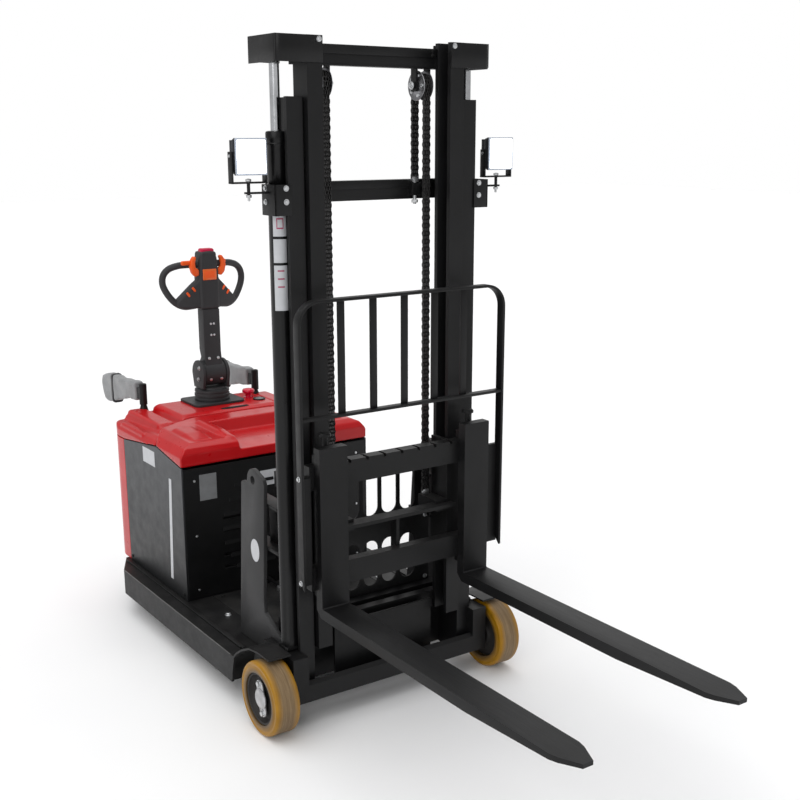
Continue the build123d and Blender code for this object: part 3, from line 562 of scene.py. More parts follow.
# Node trees
class Grower(NodeTree):
    """A geometry tree with named sizes."""

    def __init__(self, name):
        self.tree = bpy.data.node_groups.new(name, "GeometryNodeTree")
        for way in ("INPUT", "OUTPUT"):
            self.tree.interface.new_socket(name="Geometry", in_out=way, socket_type="NodeSocketGeometry")
        self.seeds = self.tree.nodes.new("NodeGroupInput")
        self.out = self.tree.nodes.new("NodeGroupOutput")

    def size(self, name, kind="Float", default=None):
        socket = self.tree.interface.new_socket(name=name, in_out="INPUT", socket_type="NodeSocket" + kind)
        if default is not None:
            socket.default_value = default
        return self.seeds.outputs[name]

    def math(self, kind, first, second):
        return self.put("ShaderNodeMath", {"operation": kind}, n0=first, n1=second).outputs[0]

    def vector(self, x=0.0, y=0.0, z=0.0):
        return self.put("ShaderNodeCombineXYZ", X=x, Y=y, Z=z).outputs[0]

    def drum(self, sides, radius, depth):
        return self.put("GeometryNodeMeshCylinder", Vertices=sides, Radius=radius, Depth=depth).outputs["Mesh"]

    def moved(self, geometry, offset=None, turn=None, scale=None):
        given = {"Translation": offset, "Rotation": turn, "Scale": scale}
        sockets = {key: value for key, value in given.items() if value is not None}
        return self.put("GeometryNodeTransform", Geometry=geometry, **sockets).outputs[0]

    def joined(self, *parts):
        return self.put("GeometryNodeJoinGeometry", Geometry=list(parts)).outputs[0]

    def placed(self, part, selection=None):
        """The part on every seed, its Z along the seed's axis."""
        axis = self.put("GeometryNodeInputNamedAttribute", {"data_type": "FLOAT_VECTOR"}, Name="axis").outputs[0]
        turn = self.put("FunctionNodeAlignRotationToVector", {"axis": "Z"}, Vector=axis).outputs[0]
        sockets = {"Points": self.seeds.outputs["Geometry"], "Instance": part, "Rotation": turn}
        if selection is not None:
            sockets["Selection"] = selection
        return self.put("GeometryNodeInstanceOnPoints", **sockets).outputs[0]

    def close(self, geometry):
        real = self.put("GeometryNodeRealizeInstances", Geometry=geometry).outputs[0]
        flat = self.put("GeometryNodeSetShadeSmooth", Geometry=real, Shade_Smooth=False).outputs[0]
        finish = self.size("Finish", "Material")
        done = self.put("GeometryNodeSetMaterial", Geometry=flat, Material=finish).outputs[0]
        self.tree.links.new(done, self.out.inputs[0])
        return self.tree


def grown(tree, name, seeds, values, finish, body, replaces=()):
    """Runs a tree on seeds (point, axis) and keeps the result as a plain mesh."""
    mesh = bpy.data.meshes.new(name + "_seeds")
    mesh.from_pydata([tuple(at(*p)) for p, _ in seeds], [], [])
    axis = mesh.attributes.new("axis", "FLOAT_VECTOR", "POINT")
    for item, (_, direction) in zip(axis.data, seeds):
        item.vector = Vector(direction).normalized()
    obj = loose(name + "_seeds", mesh)
    mod = obj.modifiers.new("grow", "NODES")
    mod.node_group = tree
    for item in tree.interface.items_tree:
        if item.name in values:
            mod[item.identifier] = values[item.name]
        if item.name == "Finish":
            mod[item.identifier] = FINISHES[finish]
    bpy.context.view_layer.update()
    made = evaluated(obj, name)
    bpy.data.objects.remove(obj)
    made.name = name
    return piece(name, made, None, body, replaces)


WASHER = 0.0012


def bolt_tree():
    """Hexagon or round headed screw with a washer."""
    g = Grower("bolts")
    radius, height = g.size("Head radius"), g.size("Head height")
    washer, sides = g.size("Washer radius"), g.size("Sides", "Int", 6)
    thick = WASHER
    lift = g.math("MULTIPLY", height, 0.4)
    head = g.moved(g.drum(sides, radius, g.math("MULTIPLY", height, 0.8)), g.vector(z=g.math("ADD", lift, thick)))
    crown = g.put(
        "GeometryNodeMeshCone", Vertices=sides, Radius_Top=g.math("MULTIPLY", radius, 0.72),
        Radius_Bottom=radius, Depth=g.math("MULTIPLY", height, 0.2),
    ).outputs["Mesh"]
    crown = g.moved(crown, g.vector(z=g.math("ADD", g.math("MULTIPLY", height, 0.8), thick)))
    ring = g.moved(g.drum(20, washer, thick), g.vector(z=thick / 2))
    return g.close(g.placed(g.joined(head, crown, ring)))


def chain_tree():
    """Leaf chain: every other link has its plates on the inside."""
    g = Grower("leaf_chain")
    pitch, depth, thick = g.size("Pitch"), g.size("Plate depth"), g.size("Plate thickness")
    width, pin = g.size("Width"), g.size("Pin radius")
    quarter = (math.pi / 2, 0.0, 0.0)
    plate = g.moved(g.drum(10, 0.5, thick), turn=quarter)
    plate = g.moved(plate, scale=g.vector(depth, 1.0, g.math("MULTIPLY", pitch, 1.36)))
    shaft = g.moved(g.drum(8, pin, g.math("MULTIPLY", width, 1.04)), turn=quarter)
    shaft = g.moved(shaft, g.vector(z=g.math("MULTIPLY", pitch, 0.5)))
    half = g.math("SUBTRACT", g.math("MULTIPLY", width, 0.5), g.math("MULTIPLY", thick, 0.5))

    def plates(*shares):
        return [g.moved(plate, g.vector(y=g.math("MULTIPLY", half, share))) for share in shares]

    parity = g.math("MODULO", g.put("GeometryNodeInputIndex").outputs[0], 2.0)
    odd = g.put("FunctionNodeCompare", {"data_type": "FLOAT"}, A=parity, B=0.5).outputs[0]
    even = g.put("FunctionNodeBooleanMath", {"operation": "NOT"}, n0=odd).outputs[0]
    outer = g.placed(g.joined(shaft, *plates(-1.0, -0.4, 0.4, 1.0)), odd)
    inner = g.placed(g.joined(shaft, *plates(-0.82, 0.0, 0.82)), even)
    return g.close(g.joined(outer, inner))


TREES = {}


def spots(xs, ys, zs, axis):
    """Seeds at every mix of three lists of places, all along one axis."""
    return [((x, y, z), axis) for y in ys for x in xs for z in zs]


SCREWS = {
    "m12": (0.0095, 0.0070, 0.0125, 6), "m8": (0.0065, 0.0048, 0.0088, 6),
    "m6": (0.0050, 0.0032, 0.0062, 12), "m4": (0.0038, 0.0020, 0.0046, 12),
}


def bolts(name, seeds, body, size="m8", finish="zinc_bolt"):
    """One screw of a size on every seed."""
    values = dict(zip(("Head radius", "Head height", "Washer radius", "Sides"), SCREWS[size]))
    if "bolts" not in TREES:
        TREES["bolts"] = bolt_tree()
    return grown(TREES["bolts"], name, seeds, values, finish, body)


# Panel settings
class StackerLook(bpy.types.PropertyGroup):
    body_red: FloatVectorProperty(
        name="Body red", description="Colour of the moulded hood", subtype="COLOR", size=3,
        default=(0.46, 0.0035, 0.006), min=0, max=1,
    )
    steel_black: FloatVectorProperty(
        name="Steel black", description="Colour of the painted steelwork", subtype="COLOR", size=3,
        default=(0.0052, 0.0052, 0.0056), min=0, max=1,
    )
    panel_grey: FloatVectorProperty(
        name="Panel grey", description="Colour of the side panels", subtype="COLOR", size=3,
        default=(0.020, 0.021, 0.023), min=0, max=1,
    )
    tyre_amber: FloatVectorProperty(
        name="Tyre amber", description="Colour of the cast tyres", subtype="COLOR", size=3,
        default=(0.335, 0.160, 0.003), min=0, max=1,
    )
    lamp_strength: FloatProperty(
        name="Lamp strength", description="How brightly the work lamps glow", default=5.0, min=0,
    )
    chain_pitch: FloatProperty(
        name="Chain pitch", description="Distance between chain pins", subtype="DISTANCE", unit="LENGTH",
        default=0.0127, min=0.005,
    )
    edge_ease: FloatProperty(
        name="Edge ease", description="Width of the eased edges on steelwork", subtype="DISTANCE", unit="LENGTH",
        default=0.0016, min=0,
    )
    floor_size: FloatProperty(
        name="Floor size", description="Side of the pale floor", subtype="DISTANCE", unit="LENGTH",
        default=60.0, min=5,
    )


def look():
    """The sizes and colours set in the panel."""
    return bpy.context.scene.stacker_look


# Operators
class STACKER_OT_finishes(bpy.types.Operator):
    """Make the finishes of the machine"""

    bl_idname = "stacker.finishes"
    bl_label = "Finishes"

    def execute(self, context):
        make_finishes(look())
        return {"FINISHED"}


EASED = {
    "black_frame": (
        "carriage", "guard_plate", "drive_yoke", "arm_sleeve_left", "arm_sleeve_right", "chassis_frame",
    ),
    "channel_black": ("inner_mast",),
    "sheet_black": ("front_panel", "rear_panel", "platform", "arm_post_left", "arm_post_right", "drive_motor"),
    "panel_grey": ("side_panel_left", "side_panel_right"),
    "deck_black": ("deck_plate",),
    "fork_black": ("fork_left", "fork_right"),
    "battery_grey": ("battery_block",),
    "hub_black": ("drive_hub",),
    "rod_chrome": ("lift_rod_left", "lift_rod_right"),
    "tiller_black": ("tiller_plinth",),
    "red_gloss": ("corner_trim_left", "corner_trim_right"),
}


def body_of_node(node):
    """The moving body that a CAD node belongs to."""
    for body, members in frame["record"]["behaviour"]["bodies"].items():
        if node in members:
            return body
    raise ValueError(node)


def edge_bevel():
    """The modifier that eases the edges of steelwork."""
    return ("BEVEL", {
        "width": look().edge_ease, "segments": 2, "limit_method": "ANGLE",
        "angle_limit": math.radians(40), "use_clamp_overlap": True, "harden_normals": True,
    })


def eased_node(node, finish):
    """A CAD node's copy with its edges eased, standing for the node."""
    name = node + "_eased"
    mesh = modified(name, Solid().cad(node).mesh(name), edge_bevel())
    return piece(name, mesh, finish, body_of_node(node), (node,))


def cut_mast():
    """The fixed mast, its rear flanges cut back above the lamp brackets."""
    cutter = Solid()
    for side in (1, -1):
        cutter.block((-130, side * 306, 1764), (-84, side * 352, 2050), 0)
    mesh = cut("fixed_mast", Solid().cad("outer_mast"), cutter, edge_bevel())
    return piece("fixed_mast", mesh, "channel_black", "chassis", ("outer_mast",))


class STACKER_OT_steelwork(bpy.types.Operator):
    """Ease the edges of the steelwork and give it its finish"""

    bl_idname = "stacker.steelwork"
    bl_label = "Steelwork"

    def execute(self, context):
        for finish, nodes in EASED.items():
            for node in nodes:
                eased_node(node, finish)
        cut_mast()
        return {"FINISHED"}


def softened(name, solid, voxel, rounds):
    """The solid's mesh run together and smoothed."""
    return modified(
        name, solid.mesh(name),
        ("REMESH", {"mode": "VOXEL", "voxel_size": voxel, "use_smooth_shade": True}),
        ("SMOOTH", {"factor": 0.5, "iterations": rounds}),
    )


def moulded(name, solid, finish, body, replaced, voxel=0.004, rounds=5):
    """Simple solids run together in one soft-edged moulding."""
    return piece(name, softened(name, solid, voxel, rounds), finish, body, replaced)


def label(name, low, high, finish, body):
    """A thin blank plate."""
    return piece(name, Solid().block(low, high, 0.3, 1).mesh(name), finish, body)


def pierced(solid, centre, radius):
    """The solid's mesh with a round hole through it along Y."""
    x, y, z = centre
    mesh = cut("pierced", solid, Solid().rod((x, y - 40, z), (x, y + 40, z), radius, 0, 40))
    mesh.shade_smooth()
    mesh.set_sharp_from_angle(angle=math.radians(SMOOTH_BELOW))
    return mesh


# Wheels
DRIVE_X = -1310.0
WHEEL_R = 125.0


def cast_tyre(name, width, radius, bore, finish, body, node):
    """A cast tyre turned from half its section and the mirror of it."""
    low = span(node)[0]
    half = [
        (1.5, bore), (0.5, bore + 2), (0.5, radius - 22), (2.4, radius - 19), (2.4, radius - 14),
        (0.9, radius - 11), (1.4, radius - 7.5), (3.4, radius - 4), (6.6, radius - 1.5), (11, radius - 0.3),
        (16, radius), (width * 0.32, radius - 0.8), (width * 0.5, radius - 1.3),
    ]
    profile = half + [(width - along, r) for along, r in reversed(half[:-1])]
    solid = Solid().turned((DRIVE_X if "drive" in name else 0, low[1], radius), (0, 1, 0), profile, 96, True)
    return solid.made(name, finish, body, "tyre_amber", (node,), angle=50)


class STACKER_OT_wheels(bpy.types.Operator):
    """Make the tyres, the dished hubs and their retaining plates"""

    bl_idname = "stacker.wheels"
    bl_label = "Wheels"

    def execute(self, context):
        for name, side in SIDES:
            cast_tyre("cast_tyre_" + name, 90, WHEEL_R, 87, "tyre_amber", "wheel_" + name, "tyre_" + name)
            profile = [
                (0, 20.3), (0, 40), (5, 43), (9, 50), (9, 78), (11, 86.8), (76, 86.8), (79, 85.5), (79, 82),
                (77, 79), (67, 76), (61, 70), (60, 40), (59, 20.3),
            ]
            hub = Solid().turned((0, side * 413, WHEEL_R), (0, side, 0), profile, 72, True)
            hub.made("dished_hub_" + name, "hub_black", "wheel_" + name, "hub_black", ("hub_" + name,))
            tilt = math.radians(102)
            ends = arc((40, 0), 22, -90, 90) + arc((-40, 0), 22, 90, 270)
            turned = [
                (x * math.cos(tilt) - z * math.sin(tilt), WHEEL_R + x * math.sin(tilt) + z * math.cos(tilt))
                for x, z in ends
            ]
            plate = Solid().prism(turned, "Y", side * 482, side * 487, 1.0)
            dome = [(0, 0), (0, 35), (3, 34.5), (5, 32), (7.5, 27), (8.6, 18), (8.8, 0)]
            plate.turned((0, side * 486.6, WHEEL_R), (0, side, 0), dome, 48)
            plate.made("retaining_plate_" + name, "cast_silver", "chassis", "rod_chrome")
            seeds = []
            for reach in (-49, 49):
                spot = (reach * math.cos(tilt), side * 487, WHEEL_R + reach * math.sin(tilt))
                seeds.append((spot, (0, side, 0)))
            bolts("retaining_bolts_" + name, seeds, "chassis", "m12")
        cast_tyre("cast_tyre_drive", 76, WHEEL_R, 95, "drive_amber", "drive_wheel", "drive_tyre")
        seeds = []
        for side in (1, -1):
            for k in range(6):
                a = k * math.pi / 3
                spot = (DRIVE_X + 62 * math.cos(a), side * 33, WHEEL_R + 62 * math.sin(a))
                seeds.append((spot, (0, side, 0)))
        bolts("drive_wheel_bolts", seeds, "drive_wheel", "m12")
        return {"FINISHED"}


# Hood
class STACKER_OT_hood(bpy.types.Operator):
    """Mould the hood and the battery lid and fit their controls"""

    bl_idname = "stacker.hood"
    bl_label = "Hood"

    def execute(self, context):
        lid = Solid().cad("battery_lid")
        for side in (1, -1):
            lid.prism([(-1050, 770), (-1044, 800), (-860, 799), (-780, 790), (-752, 764), (-750, 740), (-1050, 740)],
                      "Y", side * 162, side * 204, 12, 3)
            lid.prism([(-1000, 765), (-984, 798), (-880, 798), (-796, 788), (-756, 754), (-752, 722), (-1000, 722)],
                      "Y", side * 244, side * 330, 15, 3)
        moulded("lid_moulding", lid, "red_gloss", "lid", ("battery_lid",))
        console = Solid().cad("console")
        for side in (1, -1):
            console.block((-1446, side * 246, 740), (-1120, side * 326, 781), 14, 3)
            console.block((-1352, side * 352, 716), (-1110, side * 394, 757), 12, 3)
        moulded("console_moulding", console, "red_gloss", "chassis", ("console",))
        # A dark strip on the console standing for its slot: painted shade.
        trim = Solid().block((-1174, -36, 785), (-1146, 92, 801), 6, 3)
        trim.made("console_slot", "slot_painted_shade", "chassis", angle=60)
        knob = Solid().turned(
            (-1396, -185, 762), (0, 0, 1),
            [(0, 0), (0, 9), (6, 9), (8, 5), (14, 5), (16, 8), (22, 8.5), (26, 6), (27, 0)], 32,
        )
        knob.made("key_knob", "rubber_black", "chassis", angle=50)
        bolts("tray_rivets", [((-772, s * 162.5, 748), (0, -s, 0)) for s in (1, -1)], "lid", "m8")
        stop = Solid().turned(
            (-1290, 158, 799), (0, 0, 1),
            [(0, 0), (0, 21), (4, 21), (5, 13), (13, 12), (19, 15), (22, 23), (25, 25.6), (31, 26), (36, 23),
             (39, 12), (39.6, 0)], 48,
        )
        stop.made("stop_button", "emergency_red", "chassis", "emergency_red", ("emergency_stop",), angle=50)
        gauge = Solid().turned(
            (-1230, 178, 798), (0, 0, 1),
            [(0, 0), (0, 26), (5, 26), (7.5, 24), (7.5, 20), (5.5, 19), (5.5, 0)], 48,
        )
        gauge.made("gauge_case", "signal_black", "chassis", "tiller_black", ("charge_gauge",))
        face = Solid().turned((-1230, 178, 803.4), (0, 0, 1), [(0, 0), (0, 18.6), (0.8, 18.6), (0.8, 0)], 40)
        face.made("gauge_face", "label_grey", "chassis")
        return {"FINISHED"}


# Tiller
TILLER_X = -1310.0
TILT_Z = 922.0
WING_SWEEP = 0.34
WING_START = 46


class STACKER_OT_tiller(bpy.types.Operator):
    """Mould the steering tiller and fit its switches"""

    bl_idname = "stacker.tiller"
    bl_label = "Tiller"

    def execute(self, context):
        tx, tz = TILLER_X, TILT_Z
        head = Solid()
        half = [(34, 1185), (42, 1195), (108, 1196), (130, 1206), (134, 1224), (70, 1290), (46, 1312), (42, 1332),
                (40, 1396), (31, 1420), (14, 1430)]
        outline = [(-y, z) for y, z in half] + [(y, z) for y, z in reversed(half)]
        head.prism(outline, "X", tx - 20, tx + 20, 8, 3)
        head.prism([(-40, 1190), (-42, 1330), (-34, 1424), (34, 1424), (42, 1330), (40, 1190)], "X",
                   tx - 40, tx + 27, 9, 3)
        head.prism([(-30, 1270), (-34, 1400), (34, 1400), (30, 1270)], "X", tx - 58, tx, 12, 3)
        top = moulded("tiller_head_moulding", head, "tiller_black", "tiller", ("tiller_head",),
                      0.003, 4)
        for v in top.data.vertices:
            v.co.x -= WING_SWEEP * max(abs(v.co.y) - WING_START * MM, 0)
        for name, side in SIDES:
            loop = Solid().tube(
                [(tx - WING_SWEEP * max(y - WING_START, 0), side * y, z) for y, z in (
                    (56, 1206), (98, 1203), (132, 1220), (160, 1256), (176, 1296), (172, 1332), (150, 1357),
                    (116, 1369), (84, 1372), (38, 1373),
                )], 13.6, 20, 7,
            )
            loop.made("hand_loop_" + name, "tiller_black", "tiller", "tiller_black", ("grip_" + name,), angle=60)
            paddle = Solid().prism(
                [(side * y, z) for y, z in (
                    (41, 1330), (58, 1324), (72, 1340), (79, 1366), (73, 1392), (62, 1408), (50, 1404), (56, 1384),
                    (56, 1362), (41, 1352),
                )], "X", tx - 4, tx + 20, 6, 3,
            )
            paddle.block((tx - 6, side * 68, 1372), (tx + 10, side * (112 if side < 0 else 84), 1390), 6, 3)
            paddle.made("butterfly_switch_" + name, "orange_switch", "tiller", angle=60)
            buttons = Solid()
            for y, z in ((66, 1274), (88, 1254)):
                back = WING_SWEEP * (y - WING_START)
                low, high = (tx + 17 - back, side * (y - 5), z - 11), (tx + 23 - back, side * (y + 5), z + 11)
                buttons.block(low, high, 3, 3, Matrix.Rotation(math.radians(side * -38), 4, "X"))
            buttons.made("wing_buttons_" + name, "orange_switch", "tiller", angle=60)
        cap = Solid().block((tx - 20, -29, 1416), (tx + 20, 29, 1436), 9, 4)
        cap.made("belly_button", "button_red", "tiller", angle=60)
        display = Solid().block((tx + 24, -30, 1310), (tx + 30, 30, 1354), 2.6, 3)
        display.made("tiller_display", "display_orange", "tiller", angle=60)
        screen = Solid().block((tx + 29, -22, 1318), (tx + 30.4, 22, 1346), 0.4, 1)
        screen.made("tiller_screen", "orange_switch", "tiller")

        arm = Solid().prism(
            [(tx - 26, 1190), (tx + 26, 1190), (tx + 26, 1012), (tx + 34, 968), (tx + 40, 930), (tx - 40, 930),
             (tx - 36, 962), (tx - 14, 990), (tx - 26, 1022)], "Y", -37, 37, 2.5, 3,
        )
        drum = [(0, 12.2), (0, 50), (2, 52), (90, 52), (92, 50), (92, 12.2)]
        arm.turned((tx, -46, tz), (0, 1, 0), drum, 64, True)
        arm.made("tiller_arm_shell", "tiller_black", "tiller", "tiller_black", ("tiller_arm",))
        dots = spots([tx + 26], (-4, 9), (1130, 1084), (1, 0, 0))
        bolts("tiller_arm_dots", dots, "tiller", "m4", "label_pale")
        cover = [((tx + 31, y, 988), (1, 0, 0.16)) for y in (-20, 20)]
        lower = math.radians(-22)
        cover += [((tx + 52 * math.cos(lower), y, tz + 52 * math.sin(lower)),
                   (math.cos(lower), 0, math.sin(lower))) for y in (-24, 24)]
        bolts("tiller_cover_screws", cover, "tiller", "m6")

        base = Solid().turned(
            (tx, 0, 811), (0, 0, 1),
            [(0, 0), (0, 72), (4, 73), (9, 73), (11, 70), (16, 70), (18, 73), (26, 73), (28, 70), (34, 70), (36, 72),
             (44, 71), (46, 62), (48, 56), (52, 54), (55, 54), (56, 0)], 64,
        )
        for side in (1, -1):
            ear = [(tx + 44, 862)] + arc((tx, tz), 57, 0, 180, 20) + [(tx - 44, 862)]
            base.prism(ear, "Y", side * 47.5, side * 60, 2.5, 3)
        base.made("tiller_yoke", "tiller_black", "tiller_turntable", "tiller_black", ("tiller_base",))
        screws = []
        for side in (1, -1):
            screws += [((tx + 16, side * 60, tz + 26), (0, side, 0)), ((tx + 4, side * 60, tz - 22), (0, side, 0))]
        bolts("tiller_yoke_screws", screws, "tiller_turntable", "m8")
        return {"FINISHED"}


# Guard arms
ARM_Y = 259


def stuffed(outline, y, thick, seed):
    """A stuffed cushion: an outline drawn in, rounded towards its edges and gently creased."""
    mesh = softened("stuffed", Solid().prism(outline, "Y", y - thick / 2, y + thick / 2, 0), 0.006, 9)
    rng = random.Random(seed)
    phases = [rng.uniform(0, TURN) for _ in range(4)]
    centre = y * MM
    for v in mesh.vertices:
        x, z = (v.co.x - AXLE_X) / MM, v.co.z / MM
        wave = math.sin(x / 38 + phases[0]) + 0.6 * math.sin(x / 17 + z / 30 + phases[1])
        crease = math.sin(x / 24 + z / 19 + phases[2]) * math.sin(z / 26 + phases[3])
        v.co.z += wave * 0.0022
        v.co.y = centre + (v.co.y - centre) * (1 + 0.07 * crease) + 0.0012 * wave
    return mesh


class STACKER_OT_guard_arms(bpy.types.Operator):
    """Stuff the guard arms' padded sleeves and strap them"""

    bl_idname = "stacker.guard_arms"
    bl_label = "Guard arms"

    def execute(self, context):
        outline = [
            (-1463, 806), (-1560, 801), (-1650, 782), (-1735, 752), (-1780, 745), (-1822, 752), (-1842, 782),
            (-1845, 838), (-1836, 860), (-1770, 872), (-1640, 878), (-1463, 884),
        ]
        low, high = 766, 866
        for name, side in SIDES:
            y = side * ARM_Y
            mesh = stuffed(outline, y, 40, 11 + side)
            pad = piece("padded_sleeve_" + name, mesh, "pad_grey", "guard_arm_" + name,
                        ("arm_pad_" + name,))
            ring = arc((y + 10, high), 14, 90, 0) + arc((y + 10, low), 14, 0, -90)
            ring += arc((y - 10, low), 14, -90, -180) + arc((y - 10, high), 14, 180, 90)
            strap = Solid().prism(ring, "X", -1726, -1710, 1.5)
            strap.made("sleeve_strap_" + name, "strap_black", "guard_arm_" + name, angle=60)
        return {"FINISHED"}


# Mast
JACK_X = -45
JACK_Y = 350
FOOT_LOW = 92
STAY_INNER, STAY_OUTER = 348, 361.8


class STACKER_OT_mast(bpy.types.Operator):
    """Fit the mast's caps, ties, lift cylinders with their glands, and labels"""

    bl_idname = "stacker.mast"
    bl_label = "Mast fittings"

    def execute(self, context):
        top_bolts = []
        for name, side in SIDES:
            cap = Solid()
            front = [(x, side * y) for x, y in arc((16, 367), 18, 90, 0)]
            back = [(x, side * y) for x, y in arc((16, 367), 15, 0, 90)]
            sheet = [(-137, side * 385)] + front + [(34, side * 232), (31, side * 232)] + back + [(-137, side * 382)]
            cap.prism(sheet, "Z", 2084, 2159.4, 0.5, 1)
            cap.made("mast_cap_" + name, "sheet_black", "mast_inner", "black_frame", angle=50)
            top_bolts.append(((34, side * 244, 2149), (1, 0, 0)))
            cylinder = Solid().turned(
                (JACK_X, side * JACK_Y, 266), (0, 0, 1),
                [(0, 16), (0, 31), (26, 31), (30, 29), (1585, 29), (1588, 31), (1592, 31), (1594, 29.6), (1600, 31),
                 (1622, 31), (1626, 29), (1628, 22), (1628, 16)], 48, True,
            )
            cylinder.made("lift_jack_" + name, "cylinder_black", "chassis", "cylinder_black",
                          ("lift_cylinder_" + name,))
            jack = (JACK_X, side * JACK_Y)
            facing = (-62, 22) if side < 0 else (-22, 62)
            bands = Solid()
            for low, high in ((1590, 1664), (1512, 1582), (1368, 1504)):
                bands.shell(jack, 29.1, facing, (low, high))
            bands.made("jack_labels_" + name, "label_pale", "chassis")
            marks = Solid()
            for low, high in ((1640, 1644), (1612, 1616), (1486, 1490), (1462, 1466), (1438, 1442)):
                marks.shell(jack, 29.5, (facing[0] + 22, facing[1] - 22), (low, high))
            for turn in (22, 58):
                marks.shell(jack, 29.5, (facing[0] + turn, facing[0] + turn + 5), (1612, 1644))
            marks.made("jack_label_marks_" + name, "label_red", "chassis")
        bolts("mast_cap_bolts", top_bolts, "mast_inner", "m8")
        ties = Solid()
        ties.block((-54, -231, 2116), (-44, 231, 2143.5), 1.5).block((-54, -231, 2083), (-49, 231, 2089), 1)
        ties.made("top_tie_flange", "black_frame", "mast_inner")
        fixed = Solid()
        fixed.block((-113, -290, 1716), (-104, 290, 1742.5), 1.5)
        fixed.made("mid_tie_flange", "black_frame", "chassis")
        bolts("top_tie_bolts", spots([-44], (214, -214), (2124, 2136), (1, 0, 0)), "mast_inner", "m6", "signal_black")
        bolts("guard_plate_bolts", spots([-152], (270, -270), (330, 565, 800), (1, 0, 0)), "chassis", "m8")
        behind = Solid().block((-102, -300, FOOT_LOW), (-94, 300, 240), 1.5)
        behind.made("mast_foot_plate", "black_frame", "chassis", "black_frame")
        shield = Solid().block((-24, -198, FOOT_LOW), (-14, 198, 306), 1.5)
        for side in (-1, 1):
            shield.block((-24, side * 300, FOOT_LOW), (38, side * 330, 128), 1.5)
        shield.block((-24, -224, FOOT_LOW), (38, 224, 104), 1.5)
        shield.made("lower_shield", "black_frame", "chassis", "black_frame")
        for name, side in SIDES:
            outline = [(-386, 184), (-380, 240), (-337, 750), (-330, 757), (-303, 757), (-295, 765)]
            outline += arc((-247, 770), 46, 176, 62, 10)
            outline += [(-194, 800), (-180, 792), (-173, 776), (-201, 368), (-198, 322), (-90, 268), (-90, 250)]
            outline += [(-158, 250), (-212, 184)]
            inner, outer = sorted((side * STAY_INNER, side * STAY_OUTER))
            stay = Solid().prism(outline, "Y", inner, outer, 1.6)
            stay_mesh = pierced(stay, (-252, side * 355, 776), 15)
            piece("stay_plate_" + name, stay_mesh, "stay_grey", "chassis", ("stay_" + name,))
            ties = Solid()
            for low in (700, 548):
                ties.block((-290, side * 293, low), (-112, side * 349, low + 12), 1.5)
            ties.block((-240, side * 300, 558), (-112, side * 310, 702), 1.5)
            ties.made("stay_ties_" + name, "black_frame", "chassis")
        return {"FINISHED"}


# Lamps
LAMP_Y = 459


class STACKER_OT_lamps(bpy.types.Operator):
    """Make the work lamps, their stirrups and clamps"""

    bl_idname = "stacker.lamps"
    bl_label = "Work lamps"

    def execute(self, context):
        for name, side in SIDES:
            y = side * LAMP_Y
            shell = Solid().block((-26, y - 50, 1771), (4, y + 50, 1873), 10, 3)
            for k in range(9):
                shell.block((-40, y - 46 + 11 * k, 1776), (-24, y - 42.5 + 11 * k, 1868), 1.2)
            for low in (1770, 1870):
                shell.block((-6, y - 50.6, low), (3, y + 50.6, low + 4), 2)
            shell.made("lamp_case_" + name, "lamp_body", "chassis", "lamp_body", ("work_light_" + name,))
            rim = Solid().prism(
                [(y + 50.6, 1770), (y + 50.6, 1874), (y - 50.6, 1874), (y - 50.6, 1770)], "X", 2, 7, 2.4, 3,
            )
            rim.made("lamp_rim_" + name, "lamp_rim", "chassis")
            lens = Solid().block((3, y - 46, 1775), (9, y + 46, 1869), 2.9, 4)
            lens.made("lamp_lens_" + name, "led_lens", "chassis")
            bracket = Solid()
            bracket.block((15, side * 338, 1652), (21, side * 395, 1742), 1.5)
            bracket.block((-60, side * 388, 1652), (21, side * 395, 1742), 1.5)
            bracket.block((-26, side * 390, 1716), (-10, side * 470, 1722), 1)
            bracket.block((-32, y - 57, 1746), (-6, y + 57, 1751), 1)
            for lug in (-57, 52):
                bracket.block((-32, y + lug, 1746), (-6, y + lug + 5, 1836), 1.5)
            bracket.rod((-18, y, 1714), (-18, y, 1749), 5)
            bracket.made("lamp_stirrup_" + name, "black_frame", "chassis", "black_frame", ("light_bracket_" + name,))
            stud = Solid().rod((-18, y, 1696), (-18, y, 1760), 4)
            stud.rod((-18, y, 1706), (-18, y, 1714), 8.5, 1, 6).rod((-18, y, 1752), (-18, y, 1759), 8.5, 1, 6)
            stud.made("lamp_stud_" + name, "zinc_bolt", "chassis")
            seeds = spots([21], [side * 357], (1692, 1731), (1, 0, 0))
            seeds += spots([-35], [side * 395], (1691, 1731), (0, side, 0))
            bolts("lamp_clamp_bolts_" + name, seeds, "chassis", "m8")
            seeds = [((-19, y + way * 57, 1824), (0, way, 0)) for way in (1, -1)]
            bolts("lamp_pivot_bolts_" + name, seeds, "chassis", "m4")
        return {"FINISHED"}


# Chains
SHEAVE = (-66.0, 185.0, 2032.0)
SHEAVE_W = 36
CHAIN_R = 32.0


